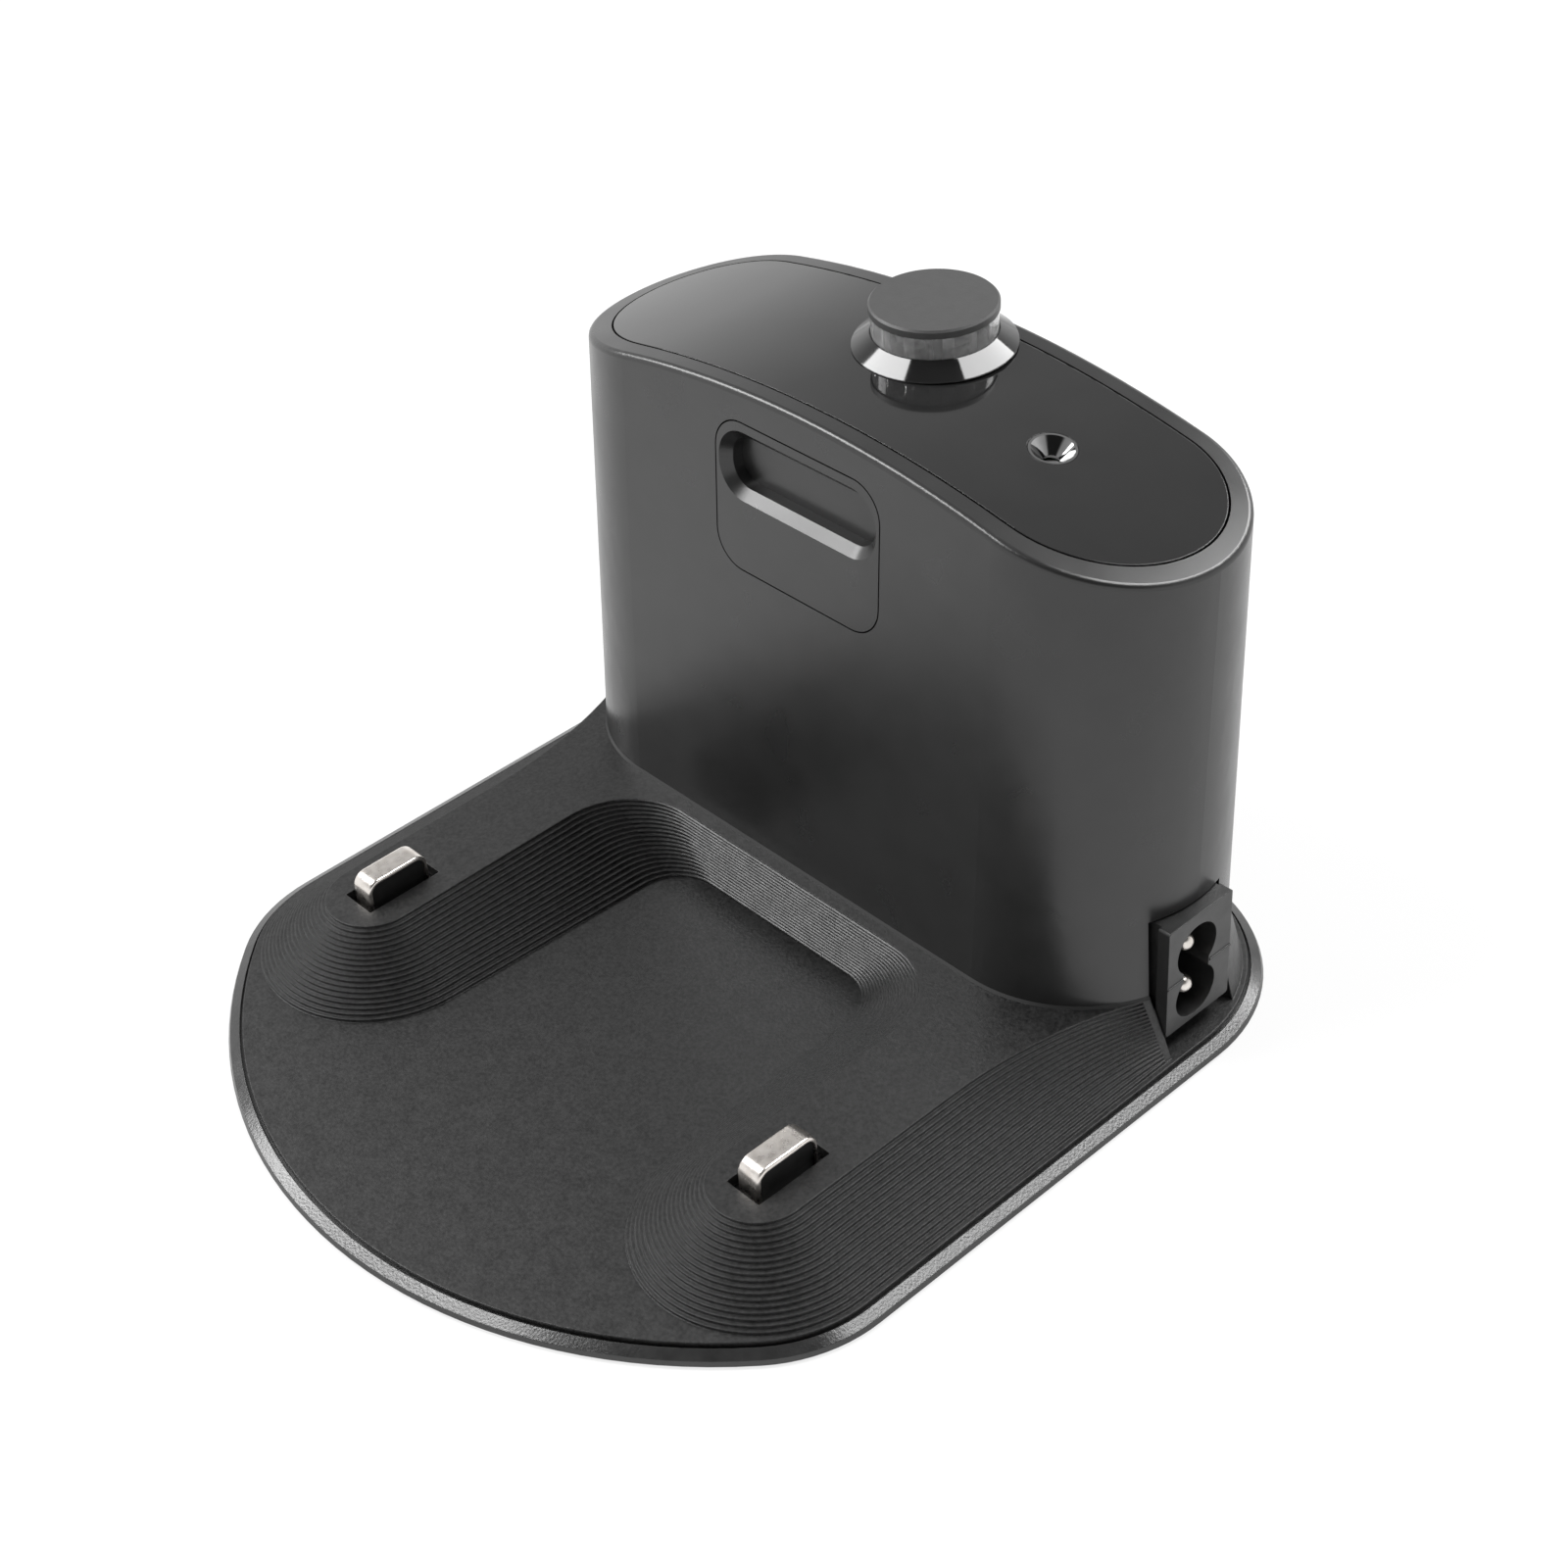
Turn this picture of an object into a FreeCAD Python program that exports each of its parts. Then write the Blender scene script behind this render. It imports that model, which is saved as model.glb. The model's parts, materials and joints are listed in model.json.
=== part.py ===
"""Charging dock for a floor-cleaning robot. Lengths are in millimetres.

+Z is up, +Y runs from the caster bay to the back of the tower, and +X is the side with the mains inlet.
The origin is on the ground under the middle of the base plate.
"""
import os
from math import atan2, cos, degrees, hypot, radians, sin, sqrt, tan

import FreeCAD
import Part
import Sketcher
from FreeCAD import Placement, Rotation, Vector

# A place along Y is measured from the front or the rear edge of the base, as its name says,
# and an inset from the sides of the base.
SIZES = {
    # Base plate, with a bevelled rim round the deck
    "base_half_width": 69.0,
    "base_half_depth": 74.2,
    "base_bottom": 0.5,
    "base_thickness": 1.0,
    "front_corner_radius": 25.15,
    "front_corner_from_front": 44.9,
    "rear_corner_radius": 30.4,
    "rim_lip": 0.75,
    "rim_draft": 0.35,
    "rim_rise": 0.8,
    "rim_width": 2.0,
    "rim_groove": 0.5,
    # Deck, a floor with terraced flanks that carry the two contact arms
    "floor_thickness": 1.1,
    "deck_rise": 9.65,
    "step_count": 18,
    "arm_inset": 23.2,
    "arm_from_front": 44.4,
    "nose_radius_high": 7.9,
    "flank_margin": 0.9,
    "bay_slant": 2.6,
    "bay_low_from_rear": 57.7,
    "bay_high_from_rear": 55.7,
    "bay_corner_low": 8.5,
    "bay_corner_high": 13.6,
    "flare_radius": 85.0,
    "roof_thickness": 2.0,
    "plinth_ledge": 0.3,
    "web_thickness": 3.0,
    # Tower outline at the foot and at the top
    "foot_end_inset": 6.6,
    "foot_front_from_rear": 53.1,
    "foot_middle_from_rear": 29.4,
    "foot_back_from_rear": 6.3,
    "top_end_inset": 8.1,
    "top_front_from_rear": 47.2,
    "top_middle_from_rear": 25.0,
    "top_back_from_rear": 6.0,
    "tower_height": 93.6,
    "crown_radius": 199.0,
    "crown_edge_radius": 1.0,
    "wall_thickness": 2.2,
    "foot_lip_width": 0.3,
    "foot_lip_height": 0.4,
    # Top panel
    "panel_inset": 3.65,
    "panel_gap": 0.35,
    "panel_thickness": 2.0,
    "panel_ledge": 2.0,
    # Beacon on the top panel
    "beacon_from_rear": 18.4,
    "beacon_bore_radius": 4.0,
    "collar_stem_radius": 6.5,
    "collar_stem_length": 3.2,
    "collar_radius": 12.6,
    "collar_flange": 0.3,
    "collar_height": 1.1,
    "collar_clearance": 0.1,
    "lens_radius": 9.6,
    "lens_wall": 1.8,
    "lens_height": 4.55,
    "cap_radius": 9.85,
    "cap_height": 1.3,
    "cap_bevel": 0.3,
    "cap_spigot": 1.0,
    "spigot_clearance": 0.1,
    "emitter_radius": 2.5,
    "emitter_tip": 2.6,
    # Indicator in the top panel
    "indicator_x": 31.0,
    "indicator_from_rear": 26.5,
    "indicator_radius": 3.6,
    "indicator_rim": 0.4,
    "indicator_depth": 2.6,
    "indicator_hole_radius": 1.3,
    "indicator_light_radius": 1.5,
    "indicator_light_gap": 0.4,
    # Board under the top panel
    "beacon_board_drop": 12.4,
    "board_thickness": 1.6,
    "beacon_board_left": 15.0,
    "beacon_board_right": 38.0,
    "beacon_board_front_from_rear": 30.4,
    "beacon_board_back_from_rear": 12.4,
    "board_post_radius": 2.0,
    # Front panel with its slot, in the plane of the front wall
    "front_panel_drop": 18.05,
    "front_panel_width": 34.6,
    "front_panel_length": 25.0,
    "front_panel_corner": 5.5,
    "front_panel_gap": 0.25,
    "front_panel_lip": 2.0,
    "front_flange_drop": 4.0,
    "front_panel_flange": 1.4,
    "slot_width": 30.4,
    "slot_length": 8.6,
    "slot_rise": 5.3,
    "slot_corner": 3.9,
    "slot_depth": 3.5,
    "slot_wall": 1.3,
    "slot_bevel": 1.5,
    # Beam emitters behind the slot
    "beam_spacing": 16.0,
    "beam_radius": 2.5,
    "beam_length": 6.0,
    "beam_gap": 0.3,
    "beam_board_width": 32.0,
    "beam_board_length": 15.0,
    "beam_post_spacing": 27.0,
    "beam_post_radius": 1.8,
    # Mains inlet at the right end of the tower
    "inlet_inset": 4.8,
    "inlet_from_rear": 30.2,
    "inlet_width": 14.4,
    "inlet_length": 20.7,
    "inlet_floor": 5.8,
    "inlet_plate": 2.2,
    "inlet_depth": 16.0,
    "inlet_shoulder": 0.7,
    "inlet_gap": 0.3,
    "inlet_edge_radius": 0.5,
    "socket_forward": 0.65,
    "socket_drop": 0.7,
    "socket_radius": 4.45,
    "socket_neck": 5.8,
    "socket_depth": 12.5,
    "pin_spacing": 8.6,
    "pin_radius": 1.2,
    "pin_root_radius": 1.5,
    "pin_setback": 1.05,
    "pin_tail": 1.6,
    "pin_clearance": 0.03,
    "notch_front_from_rear": 37.6,
    "notch_back_from_rear": 21.2,
    # Sprung charging contacts
    "contact_from_front": 48.2,
    "contact_length": 11.8,
    "contact_width": 4.4,
    "contact_strip": 0.6,
    "contact_reach": 4.2,
    "contact_corner": 2.3,
    "contact_slot_length": 13.8,
    "contact_slot_width": 6.7,
    "carrier_gap": 0.3,
    "carrier_fit": 0.05,
    "carrier_margin": 0.4,
    "carrier_flange": 1.4,
    "carrier_overlap": 1.0,
    "contact_well_margin": 2.1,
    "spring_half_length": 4.0,
    "spring_width": 3.6,
    "spring_strip": 0.35,
    "spring_fold": 0.25,
    "spring_run": 0.5,
    "terminal_thickness": 0.4,
    "terminal_width": 7.0,
    "terminal_length": 15.0,
    "terminal_tail_length": 6.0,
    "terminal_tail_width": 3.0,
    # Leads and boards in the tower
    "lead_radius": 0.8,
    "lead_bend": 4.0,
    "lead_channel_half": 2.2,
    "lead_channel_height": 4.5,
    "lead_rise_from_rear": 40.8,
    "lead_level": 30.0,
    "lead_channel_web": 0.6,
    "tower_opening_front_from_rear": 44.4,
    "tower_opening_back_from_rear": 10.4,
    "main_board_from_rear": 18.2,
    "main_board_inset": 21.0,
    "main_board_height": 52.0,
    "main_board_level": 17.0,
    "main_post_x": 34.0,
    "main_post_inset": 6.0,
    "inlet_lead_inset": 29.0,
    "transformer_width": 27.0,
    "transformer_depth": 19.0,
    "transformer_height": 24.0,
    "transformer_x": -8.0,
    "capacitor_radius": 5.0,
    "capacitor_length": 15.0,
    "capacitor_x": 24.0,
    "capacitor_level": 34.0,
    "capacitor_pitch": 13.0,
    # Screws and feet
    "tower_screw_inset": 16.6,
    "tower_screw_front_from_rear": 41.8,
    "tower_screw_back_from_rear": 14.4,
    "boss_radius": 3.6,
    "boss_height": 11.0,
    "screw_radius": 1.4,
    "screw_clearance": 0.05,
    "screw_length": 9.0,
    "screw_head_radius": 2.7,
    "screw_head_height": 2.0,
    "counterbore_radius": 3.1,
    "base_screw_from_front": 31.0,
    "base_screw_rear_x": 28.0,
    "base_screw_from_rear": 8.0,
    "base_screw_length": 4.5,
    "foot_pad_radius": 6.0,
    "foot_pad_thickness": 0.9,
    "foot_pad_inset": 17.0,
    "foot_pad_from_front": 40.0,
    "foot_pad_from_rear": 30.4,
    "foot_pad_clearance": 0.1,
}

doc = FreeCAD.newDocument("charging_dock")
sheet = doc.addObject("Spreadsheet::Sheet", "Sizes")
for row, (alias, number) in enumerate(SIZES.items(), start=1):
    sheet.set(f"A{row}", alias)
    sheet.set(f"B{row}", str(number))
    sheet.setAlias(f"B{row}", alias)
doc.recompute()


def along(alias):
    """Expression for the Y of a place that is measured from the front or the rear edge of the base."""
    if alias.endswith("_from_front"):
        return f"Sizes.{alias} - Sizes.base_half_depth"
    return f"Sizes.base_half_depth - Sizes.{alias}"


def across(alias):
    """Expression for the X of a place on the right that is measured inwards from the side of the base."""
    return f"Sizes.base_half_width - Sizes.{alias}"


# Levels and places that several pieces share, as expressions on the sheet
PLATE_TOP = "Sizes.base_bottom + Sizes.base_thickness"
FLOOR_TOP = f"{PLATE_TOP} + Sizes.floor_thickness"
DECK_TOP = f"{FLOOR_TOP} + Sizes.deck_rise"
DECK_INSET = "Sizes.rim_width + Sizes.rim_groove"
ROOF_UNDER = f"{DECK_TOP} - Sizes.roof_thickness"
FLANGE_TOP = f"{ROOF_UNDER} - Sizes.carrier_gap"
FLANGE_UNDER = f"{FLANGE_TOP} - Sizes.carrier_flange"
TERMINAL_TOP = f"{PLATE_TOP} + Sizes.terminal_thickness"
CONTACT_TOP = f"{DECK_TOP} + Sizes.contact_reach"
ARM_X = across("arm_inset")
CONTACT_Y = along("contact_from_front")
SPRING_HEIGHT = f"({FLANGE_UNDER}) - ({TERMINAL_TOP})"
COLLAR_SEAT = "Sizes.tower_height + Sizes.collar_clearance"
LENS_SEAT = f"{COLLAR_SEAT} + Sizes.collar_height"
CAP_SEAT = f"{LENS_SEAT} + Sizes.lens_height"
BEACON_Y = along("beacon_from_rear")
BEACON_BOARD_TOP = "Sizes.tower_height - Sizes.beacon_board_drop"
INLET_FACE = across("inlet_inset")
INLET_Y = along("inlet_from_rear")
INLET_Z = "Sizes.inlet_floor + Sizes.inlet_length / 2"
INLET_REAR = f"{INLET_FACE} - Sizes.inlet_depth"
SOCKET_FLOOR = f"{INLET_FACE} - Sizes.socket_depth"
PIN_Y = f"{INLET_Y} - Sizes.socket_forward"
PIN_END = f"{INLET_REAR} - Sizes.pin_tail"
PIN_LEVELS = {
    "low": f"{INLET_Z} - Sizes.socket_drop - Sizes.pin_spacing / 2",
    "high": f"{INLET_Z} - Sizes.socket_drop + Sizes.pin_spacing / 2",
}
MAIN_BOARD_Y = along("main_board_from_rear")
MAIN_BOARD_HALF = across("main_board_inset")
FRONT_PANEL_Z = "Sizes.tower_height - Sizes.front_panel_drop"
BEAM_FRONT = "-Sizes.slot_depth - Sizes.slot_wall - Sizes.beam_gap"
BEAM_BOARD_FRONT = f"{BEAM_FRONT} - Sizes.beam_length"
BEAM_POST_LENGTH = f"-Sizes.wall_thickness - Sizes.front_panel_flange - ({BEAM_BOARD_FRONT})"

# Share of the tower's height to which its walls are drawn before the crown cuts them
BEYOND_CROWN = 1.1


def val(expression):
    """Number that an expression on the sheet comes to."""
    return float(sheet.evalExpression(expression))


def mm(alias):
    """One size from the sheet."""
    return val(f"Sizes.{alias}")


def y_of(alias):
    """Y of a place that is measured from the front or the rear edge of the base."""
    return val(along(alias))


def x_of(alias):
    """X of a place on the right that is measured inwards from the side of the base."""
    return val(across(alias))


def bind(item, **expressions):
    """Tie properties of a document object to expressions on the sheet."""
    for prop, expression in expressions.items():
        item.setExpression(prop, expression)
    return item


def place(item, x="0", y="0", z="0", axis=Vector(0, 0, 1), angle=0):
    """Put an object at a point given by expressions, turned about an axis."""
    item.Placement = Placement(Vector(), Rotation(axis, angle))
    for letter, expression in zip("xyz", (x, y, z)):
        item.setExpression(f"Placement.Base.{letter}", expression)
    return item


def solid_feature(label, shape):
    """Document object for a form that is worked out in code."""
    item = doc.addObject("Part::Feature", label)
    item.Label = label
    item.Shape = shape
    item.Placement = Placement()
    return item


def box(label, length, width, height, **where):
    """Box with sizes and low corner given by expressions."""
    item = doc.addObject("Part::Box", label)
    bind(item, Length=length, Width=width, Height=height)
    return place(item, **where)


def cylinder(label, radius, height, **where):
    """Cylinder with sizes and base centre given by expressions."""
    item = doc.addObject("Part::Cylinder", label)
    bind(item, Radius=radius, Height=height)
    return place(item, **where)


def group(label, members):
    """Set of separate solids that make one sub-part."""
    item = doc.addObject("Part::Compound", label)
    item.Links = members
    return item


def fused(label, members):
    """One solid from several overlapping ones."""
    item = doc.addObject("Part::MultiFuse", label)
    item.Shapes = members
    return item


def origin_plane(body, role):
    """Plane of a body's own origin."""
    return next(plane for plane in body.Origin.OriginFeatures if plane.Role == role)


def new_body(label):
    """Empty body with its label."""
    body = doc.addObject("PartDesign::Body", label)
    body.Label = label
    return body


def outline_sketch(body, name, role, corners, offset="0"):
    """Closed sketch of straight edges whose corners are pairs of expressions."""
    sketch = body.newObject("Sketcher::SketchObject", name)
    sketch.AttachmentSupport = [(origin_plane(body, role), "")]
    sketch.MapMode = "FlatFace"
    sketch.setExpression("AttachmentOffset.Base.z", offset)
    points = [Vector(val(across), val(up), 0) for across, up in corners]
    count = len(points)
    for index in range(count):
        sketch.addGeometry(Part.LineSegment(points[index], points[(index + 1) % count]))
    for index in range(count):
        sketch.addConstraint(Sketcher.Constraint("Coincident", index, 2, (index + 1) % count, 1))
    for index, corner in enumerate(corners):
        for kind, expression, distance, axis in (
            ("DistanceX", corner[0], points[index].x, -2),
            ("DistanceY", corner[1], points[index].y, -1),
        ):
            if distance == 0:
                sketch.addConstraint(Sketcher.Constraint("PointOnObject", index, 1, axis))
            else:
                number = sketch.addConstraint(Sketcher.Constraint(kind, -1, 1, index, 1, distance))
                sketch.setExpression(f"Constraints[{number}]", expression)
    return sketch


def circle_sketch(body, name, role, radius, middle_x, middle_y):
    """Sketch of one circle whose radius and middle point are expressions."""
    sketch = body.newObject("Sketcher::SketchObject", name)
    sketch.AttachmentSupport = [(origin_plane(body, role), "")]
    sketch.MapMode = "FlatFace"
    middle = Vector(val(middle_x), val(middle_y), 0)
    sketch.addGeometry(Part.Circle(middle, Vector(0, 0, 1), val(radius)))
    for constraint, expression in (
        (Sketcher.Constraint("DistanceX", -1, 1, 0, 3, middle.x), middle_x),
        (Sketcher.Constraint("DistanceY", -1, 1, 0, 3, middle.y), middle_y),
        (Sketcher.Constraint("Radius", 0, val(radius)), radius),
    ):
        number = sketch.addConstraint(constraint)
        sketch.setExpression(f"Constraints[{number}]", expression)
    return sketch


def rectangle(width, height, middle_x="0", middle_y="0"):
    """Corners of a rectangle about a middle point, as expressions."""
    return [
        (f"{middle_x} {side} ({width}) / 2", f"{middle_y} {end} ({height}) / 2")
        for side, end in (("-", "-"), ("+", "-"), ("+", "+"), ("-", "+"))
    ]


def pad(body, sketch, name, length, midplane=False, reverse=False):
    """Pad of a sketch."""
    feature = body.newObject("PartDesign::Pad", name)
    feature.Profile = sketch
    feature.setExpression("Length", length)
    feature.Midplane = midplane
    feature.Reversed = reverse
    doc.recompute()
    return feature


def pocket(body, sketch, name, length, midplane=False, reverse=False):
    """Pocket of a sketch."""
    feature = body.newObject("PartDesign::Pocket", name)
    feature.Profile = sketch
    feature.setExpression("Length", length)
    feature.Midplane = midplane
    feature.Reversed = reverse
    doc.recompute()
    return feature


def edge_names(shape, wanted):
    """Names of the edges whose middle point and direction pass a test."""
    names = []
    for number, edge in enumerate(shape.Edges, start=1):
        middle = edge.valueAt((edge.FirstParameter + edge.LastParameter) / 2)
        along = edge.lastVertex().Point - edge.firstVertex().Point
        if along.Length > 0 and wanted(middle, along.normalize()):
            names.append(f"Edge{number}")
    return names


def dress(body, kind, name, base, size, wanted):
    """Fillet or chamfer of the edges of a feature that pass a test."""
    feature = body.newObject(f"PartDesign::{kind}", name)
    feature.Base = (base, edge_names(base.Shape, wanted))
    feature.setExpression("Radius" if kind == "Fillet" else "Size", size)
    doc.recompute()
    return feature


def turned(label, corners, **where):
    """Body turned about the vertical axis from corners given as radius and height."""
    body = new_body(label)
    sketch = outline_sketch(body, f"{label}_profile", "XZ_Plane", corners)
    feature = body.newObject("PartDesign::Revolution", f"{label}_turn")
    feature.Profile = sketch
    feature.ReferenceAxis = (sketch, ["V_Axis"])
    feature.Angle = 360
    doc.recompute()
    return place(body, **where) if where else body


def arc(centre_x, centre_y, radius, start, end):
    """Level arc between two angles in degrees, anticlockwise."""
    circle = Part.Circle(Vector(centre_x, centre_y, 0), Vector(0, 0, 1), radius)
    return Part.ArcOfCircle(circle, radians(start), radians(end)).toShape()


def line(start_x, start_y, end_x, end_y):
    """Level straight edge."""
    return Part.makeLine(Vector(start_x, start_y, 0), Vector(end_x, end_y, 0))


def mirrored_wire(half, middle):
    """Closed wire from the edges of its right half and the edges that cross the middle."""
    other = [edge.mirror(Vector(), Vector(1, 0, 0)) for edge in half]
    return Part.Wire(Part.__sortEdges__(half + other + middle))


def at_height(wire, z):
    """Copy of a level wire at a height."""
    return wire.translated(Vector(0, 0, z))


def prism(wire, low, high):
    """Upright solid inside a level wire."""
    return Part.Face(at_height(wire, low)).extrude(Vector(0, 0, high - low))


def centred_box(x, y, half_x, half_y, low, high):
    """Upright box about a middle point."""
    return Part.makeBox(2 * half_x, 2 * half_y, high - low, Vector(x - half_x, y - half_y, low))


def upright(x, y, radius, low, high):
    """Upright cylinder."""
    return Part.makeCylinder(radius, high - low, Vector(x, y, low))


def base_outline(inset):
    """Outline of the base plate, drawn in by an inset."""
    half_width = mm("base_half_width")
    half_depth = mm("base_half_depth")
    corner = mm("front_corner_radius")
    corner_x = half_width - corner
    reach = mm("front_corner_from_front")
    corner_y = reach - half_depth
    front = (corner_x**2 + reach**2 - corner**2) / (2 * (reach - corner))
    front_y = front - half_depth
    meeting = degrees(atan2(corner_y - front_y, corner_x))
    rear = mm("rear_corner_radius")
    rear_x = half_width - rear
    rear_y = half_depth - rear
    half = [
        arc(corner_x, corner_y, corner - inset, meeting, 0),
        line(half_width - inset, corner_y, half_width - inset, rear_y),
        arc(rear_x, rear_y, rear - inset, 0, 90),
    ]
    middle = [
        arc(0, front_y, front - inset, -180 - meeting, meeting),
        line(-rear_x, half_depth - inset, rear_x, half_depth - inset),
    ]
    return mirrored_wire(half, middle)


def tower_outline(share, inset):
    """Outline of the tower, drawn in by an inset, at a share of its height: 0 at the foot, 1 at the crown."""

    def between(measure, name):
        low = measure(f"foot_{name}")
        return low + (measure(f"top_{name}") - low) * share

    half_length = between(x_of, "end_inset")
    middle_y = between(y_of, "middle_from_rear")
    front_y = between(y_of, "front_from_rear")
    back_y = between(y_of, "back_from_rear")
    front = middle_y - front_y
    back = back_y - middle_y
    half = [
        arc(half_length - front, middle_y, front - inset, -90, 0),
        arc(half_length - back, middle_y, back - inset, 0, 90),
    ]
    middle = [
        line(front - half_length, front_y + inset, half_length - front, front_y + inset),
        line(back - half_length, back_y - inset, half_length - back, back_y - inset),
    ]
    return mirrored_wire(half, middle)


def flank_side():
    """X of the outer flank at the level of the floor."""
    return mm("base_half_width") - val(DECK_INSET) - mm("flank_margin")


def flare_meeting():
    """Point where the top edge of the flank, flared out behind the arm, meets the end of the plinth."""
    flare = mm("flare_radius")
    ledge = mm("plinth_ledge")
    middle_y = y_of("foot_middle_from_rear")
    front = middle_y - y_of("foot_front_from_rear") + ledge
    front_x = x_of("foot_end_inset") + ledge - front
    run_x = val(ARM_X) + mm("nose_radius_high") + flare - front_x
    run_y = sqrt((flare + front) ** 2 - run_x**2)
    share = front / (flare + front)
    return Vector(front_x + share * run_x, middle_y - share * run_y, 0)


def deck_contour(share):
    """Edges round the arms and the bay at a share of the deck's height, 0 at the floor and 1 at the top.

    The right half comes back with the point where it ends at the front of the plinth.
    """

    def between(low, high):
        return low + (high - low) * share

    arm_x = val(ARM_X)
    arm_y = y_of("arm_from_front")
    nose = between(flank_side() - arm_x, mm("nose_radius_high"))
    back_y = between(y_of("bay_low_from_rear"), y_of("bay_high_from_rear"))
    corner = between(mm("bay_corner_low"), mm("bay_corner_high"))
    slant = radians(between(mm("bay_slant"), 0))

    # Bay wall, tangent to the nose of the arm and to the corner at the back of the bay
    start_x = arm_x - nose * cos(slant)
    start_y = arm_y - nose * sin(slant)
    run = (back_y - corner + corner * sin(slant) - start_y) / cos(slant)
    wall_x = start_x - run * sin(slant)
    wall_y = start_y + run * cos(slant)
    corner_x = wall_x - corner * cos(slant)
    half = [
        arc(corner_x, back_y - corner, corner, degrees(slant), 90),
        line(wall_x, wall_y, start_x, start_y),
        arc(arm_x, arm_y, nose, 180 + degrees(slant), 360),
    ]

    # Outer flank, straight along the arm and flared out towards the end of the tower
    outer = arm_x + nose
    meeting = flare_meeting()
    end_x = between(flank_side(), meeting.x)
    spread = end_x - outer
    if share == 0:
        half.append(line(outer, arm_y, outer, meeting.y))
    else:
        flare = mm("flare_radius")
        length = sqrt(2 * flare * spread - spread**2)
        flare_y = meeting.y - length
        half.append(line(outer, arm_y, outer, flare_y))
        half.append(arc(outer + flare, flare_y, flare, 180 - degrees(atan2(length, flare - spread)), 180))
    other = [edge.mirror(Vector(), Vector(1, 0, 0)) for edge in half]
    back_wall = line(-corner_x, back_y, corner_x, back_y)
    return half + other + [back_wall], end_x


def raised(edges, z):
    """Copies of level edges at a height."""
    return [edge.translated(Vector(0, 0, z)) for edge in edges]


def flat_face(edges):
    """Flat face inside a closed run of edges."""
    return Part.Face(Part.Wire(Part.__sortEdges__(edges)))


def terraced_arms():
    """Arms and bay in front of the plinth, as a stack of terraces in one closed shell."""
    steps = int(mm("step_count"))
    rise = mm("deck_rise") / steps
    end_y = flare_meeting().y
    level = val(FLOOR_TOP)
    edges, end_x = deck_contour(0)
    faces = [flat_face(raised(edges + [line(-end_x, end_y, end_x, end_y)], level))]
    stair = [Vector(end_x, end_y, level)]
    for step in range(steps):
        faces += [edge.extrude(Vector(0, 0, rise)) for edge in raised(edges, level)]
        level += rise
        stair.append(Vector(end_x, end_y, level))
        if step == steps - 1:
            faces.append(flat_face(raised(edges + [line(-end_x, end_y, end_x, end_y)], level)))
        else:
            upper, upper_x = deck_contour((step + 1) / (steps - 1))
            links = [line(side * end_x, end_y, side * upper_x, end_y) for side in (-1, 1)]
            faces.append(flat_face(raised(edges + upper + links, level)))
            edges, end_x = upper, upper_x
            stair.append(Vector(end_x, end_y, level))
    mirrored = [Vector(-point.x, point.y, point.z) for point in reversed(stair)]
    faces.append(Part.Face(Part.makePolygon(stair + mirrored + stair[:1])))
    shell = Part.makeShell(faces)
    shell.sewShape()
    block = Part.makeSolid(shell)
    if block.Volume < 0:
        block.reverse()
    return block


def plinth_block():
    """Smooth block under the tower, from the floor outline up to the foot of the tower."""
    meeting = flare_meeting()
    ledge = mm("plinth_ledge")
    side = flank_side()
    rear = mm("rear_corner_radius") - mm("base_half_width") + side
    rear_y = mm("base_half_depth") - mm("rear_corner_radius")
    low_half = [
        line(side, meeting.y, side, rear_y),
        arc(side - rear, rear_y, rear, 0, 90),
    ]
    low_middle = [
        line(-side, meeting.y, side, meeting.y),
        line(rear - side, rear_y + rear, side - rear, rear_y + rear),
    ]
    middle_y = y_of("foot_middle_from_rear")
    front = middle_y - y_of("foot_front_from_rear") + ledge
    back = y_of("foot_back_from_rear") - middle_y + ledge
    end = x_of("foot_end_inset") + ledge
    start = degrees(atan2(meeting.y - middle_y, meeting.x - end + front))
    high_half = [
        arc(end - front, middle_y, front, start, 0),
        arc(end - back, middle_y, back, 0, 90),
    ]
    high_middle = [
        line(-meeting.x, meeting.y, meeting.x, meeting.y),
        line(back - end, middle_y + back, end - back, middle_y + back),
    ]
    low = at_height(mirrored_wire(low_half, low_middle), val(FLOOR_TOP))
    high = at_height(mirrored_wire(high_half, high_middle), val(DECK_TOP))
    return Part.makeLoft([low, high], True, True)


def deck_block():
    """Floor of the deck with the terraced arms and the plinth on it."""
    floor = prism(base_outline(val(DECK_INSET)), val(PLATE_TOP), val(FLOOR_TOP))
    return floor.fuse([terraced_arms(), plinth_block()]).removeSplitter()


def tower_screw_places():
    """Places of the four screws that hold the tower."""
    x = x_of("tower_screw_inset")
    ends = (y_of("tower_screw_front_from_rear"), y_of("tower_screw_back_from_rear"))
    return [(side * x, y) for y in ends for side in (-1, 1)]


def base_screw_places():
    """Places of the four screws that hold the base plate."""
    front = [(side * val(ARM_X), y_of("base_screw_from_front")) for side in (-1, 1)]
    rear = [(side * mm("base_screw_rear_x"), y_of("base_screw_from_rear")) for side in (-1, 1)]
    return front + rear


def foot_pad_places():
    """Places of the four rubber feet."""
    x = x_of("foot_pad_inset")
    ends = (y_of("foot_pad_from_front"), y_of("foot_pad_from_rear"))
    return [(side * x, y) for y in ends for side in (-1, 1)]


def countersunk(x, y, grow):
    """Head of a countersunk screw in the base plate, grown by a clearance."""
    low = mm("base_bottom")
    wide = mm("screw_head_radius") + grow
    narrow = mm("screw_radius") + grow
    return Part.makeCone(wide, narrow, mm("base_thickness"), Vector(x, y, low))


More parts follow.
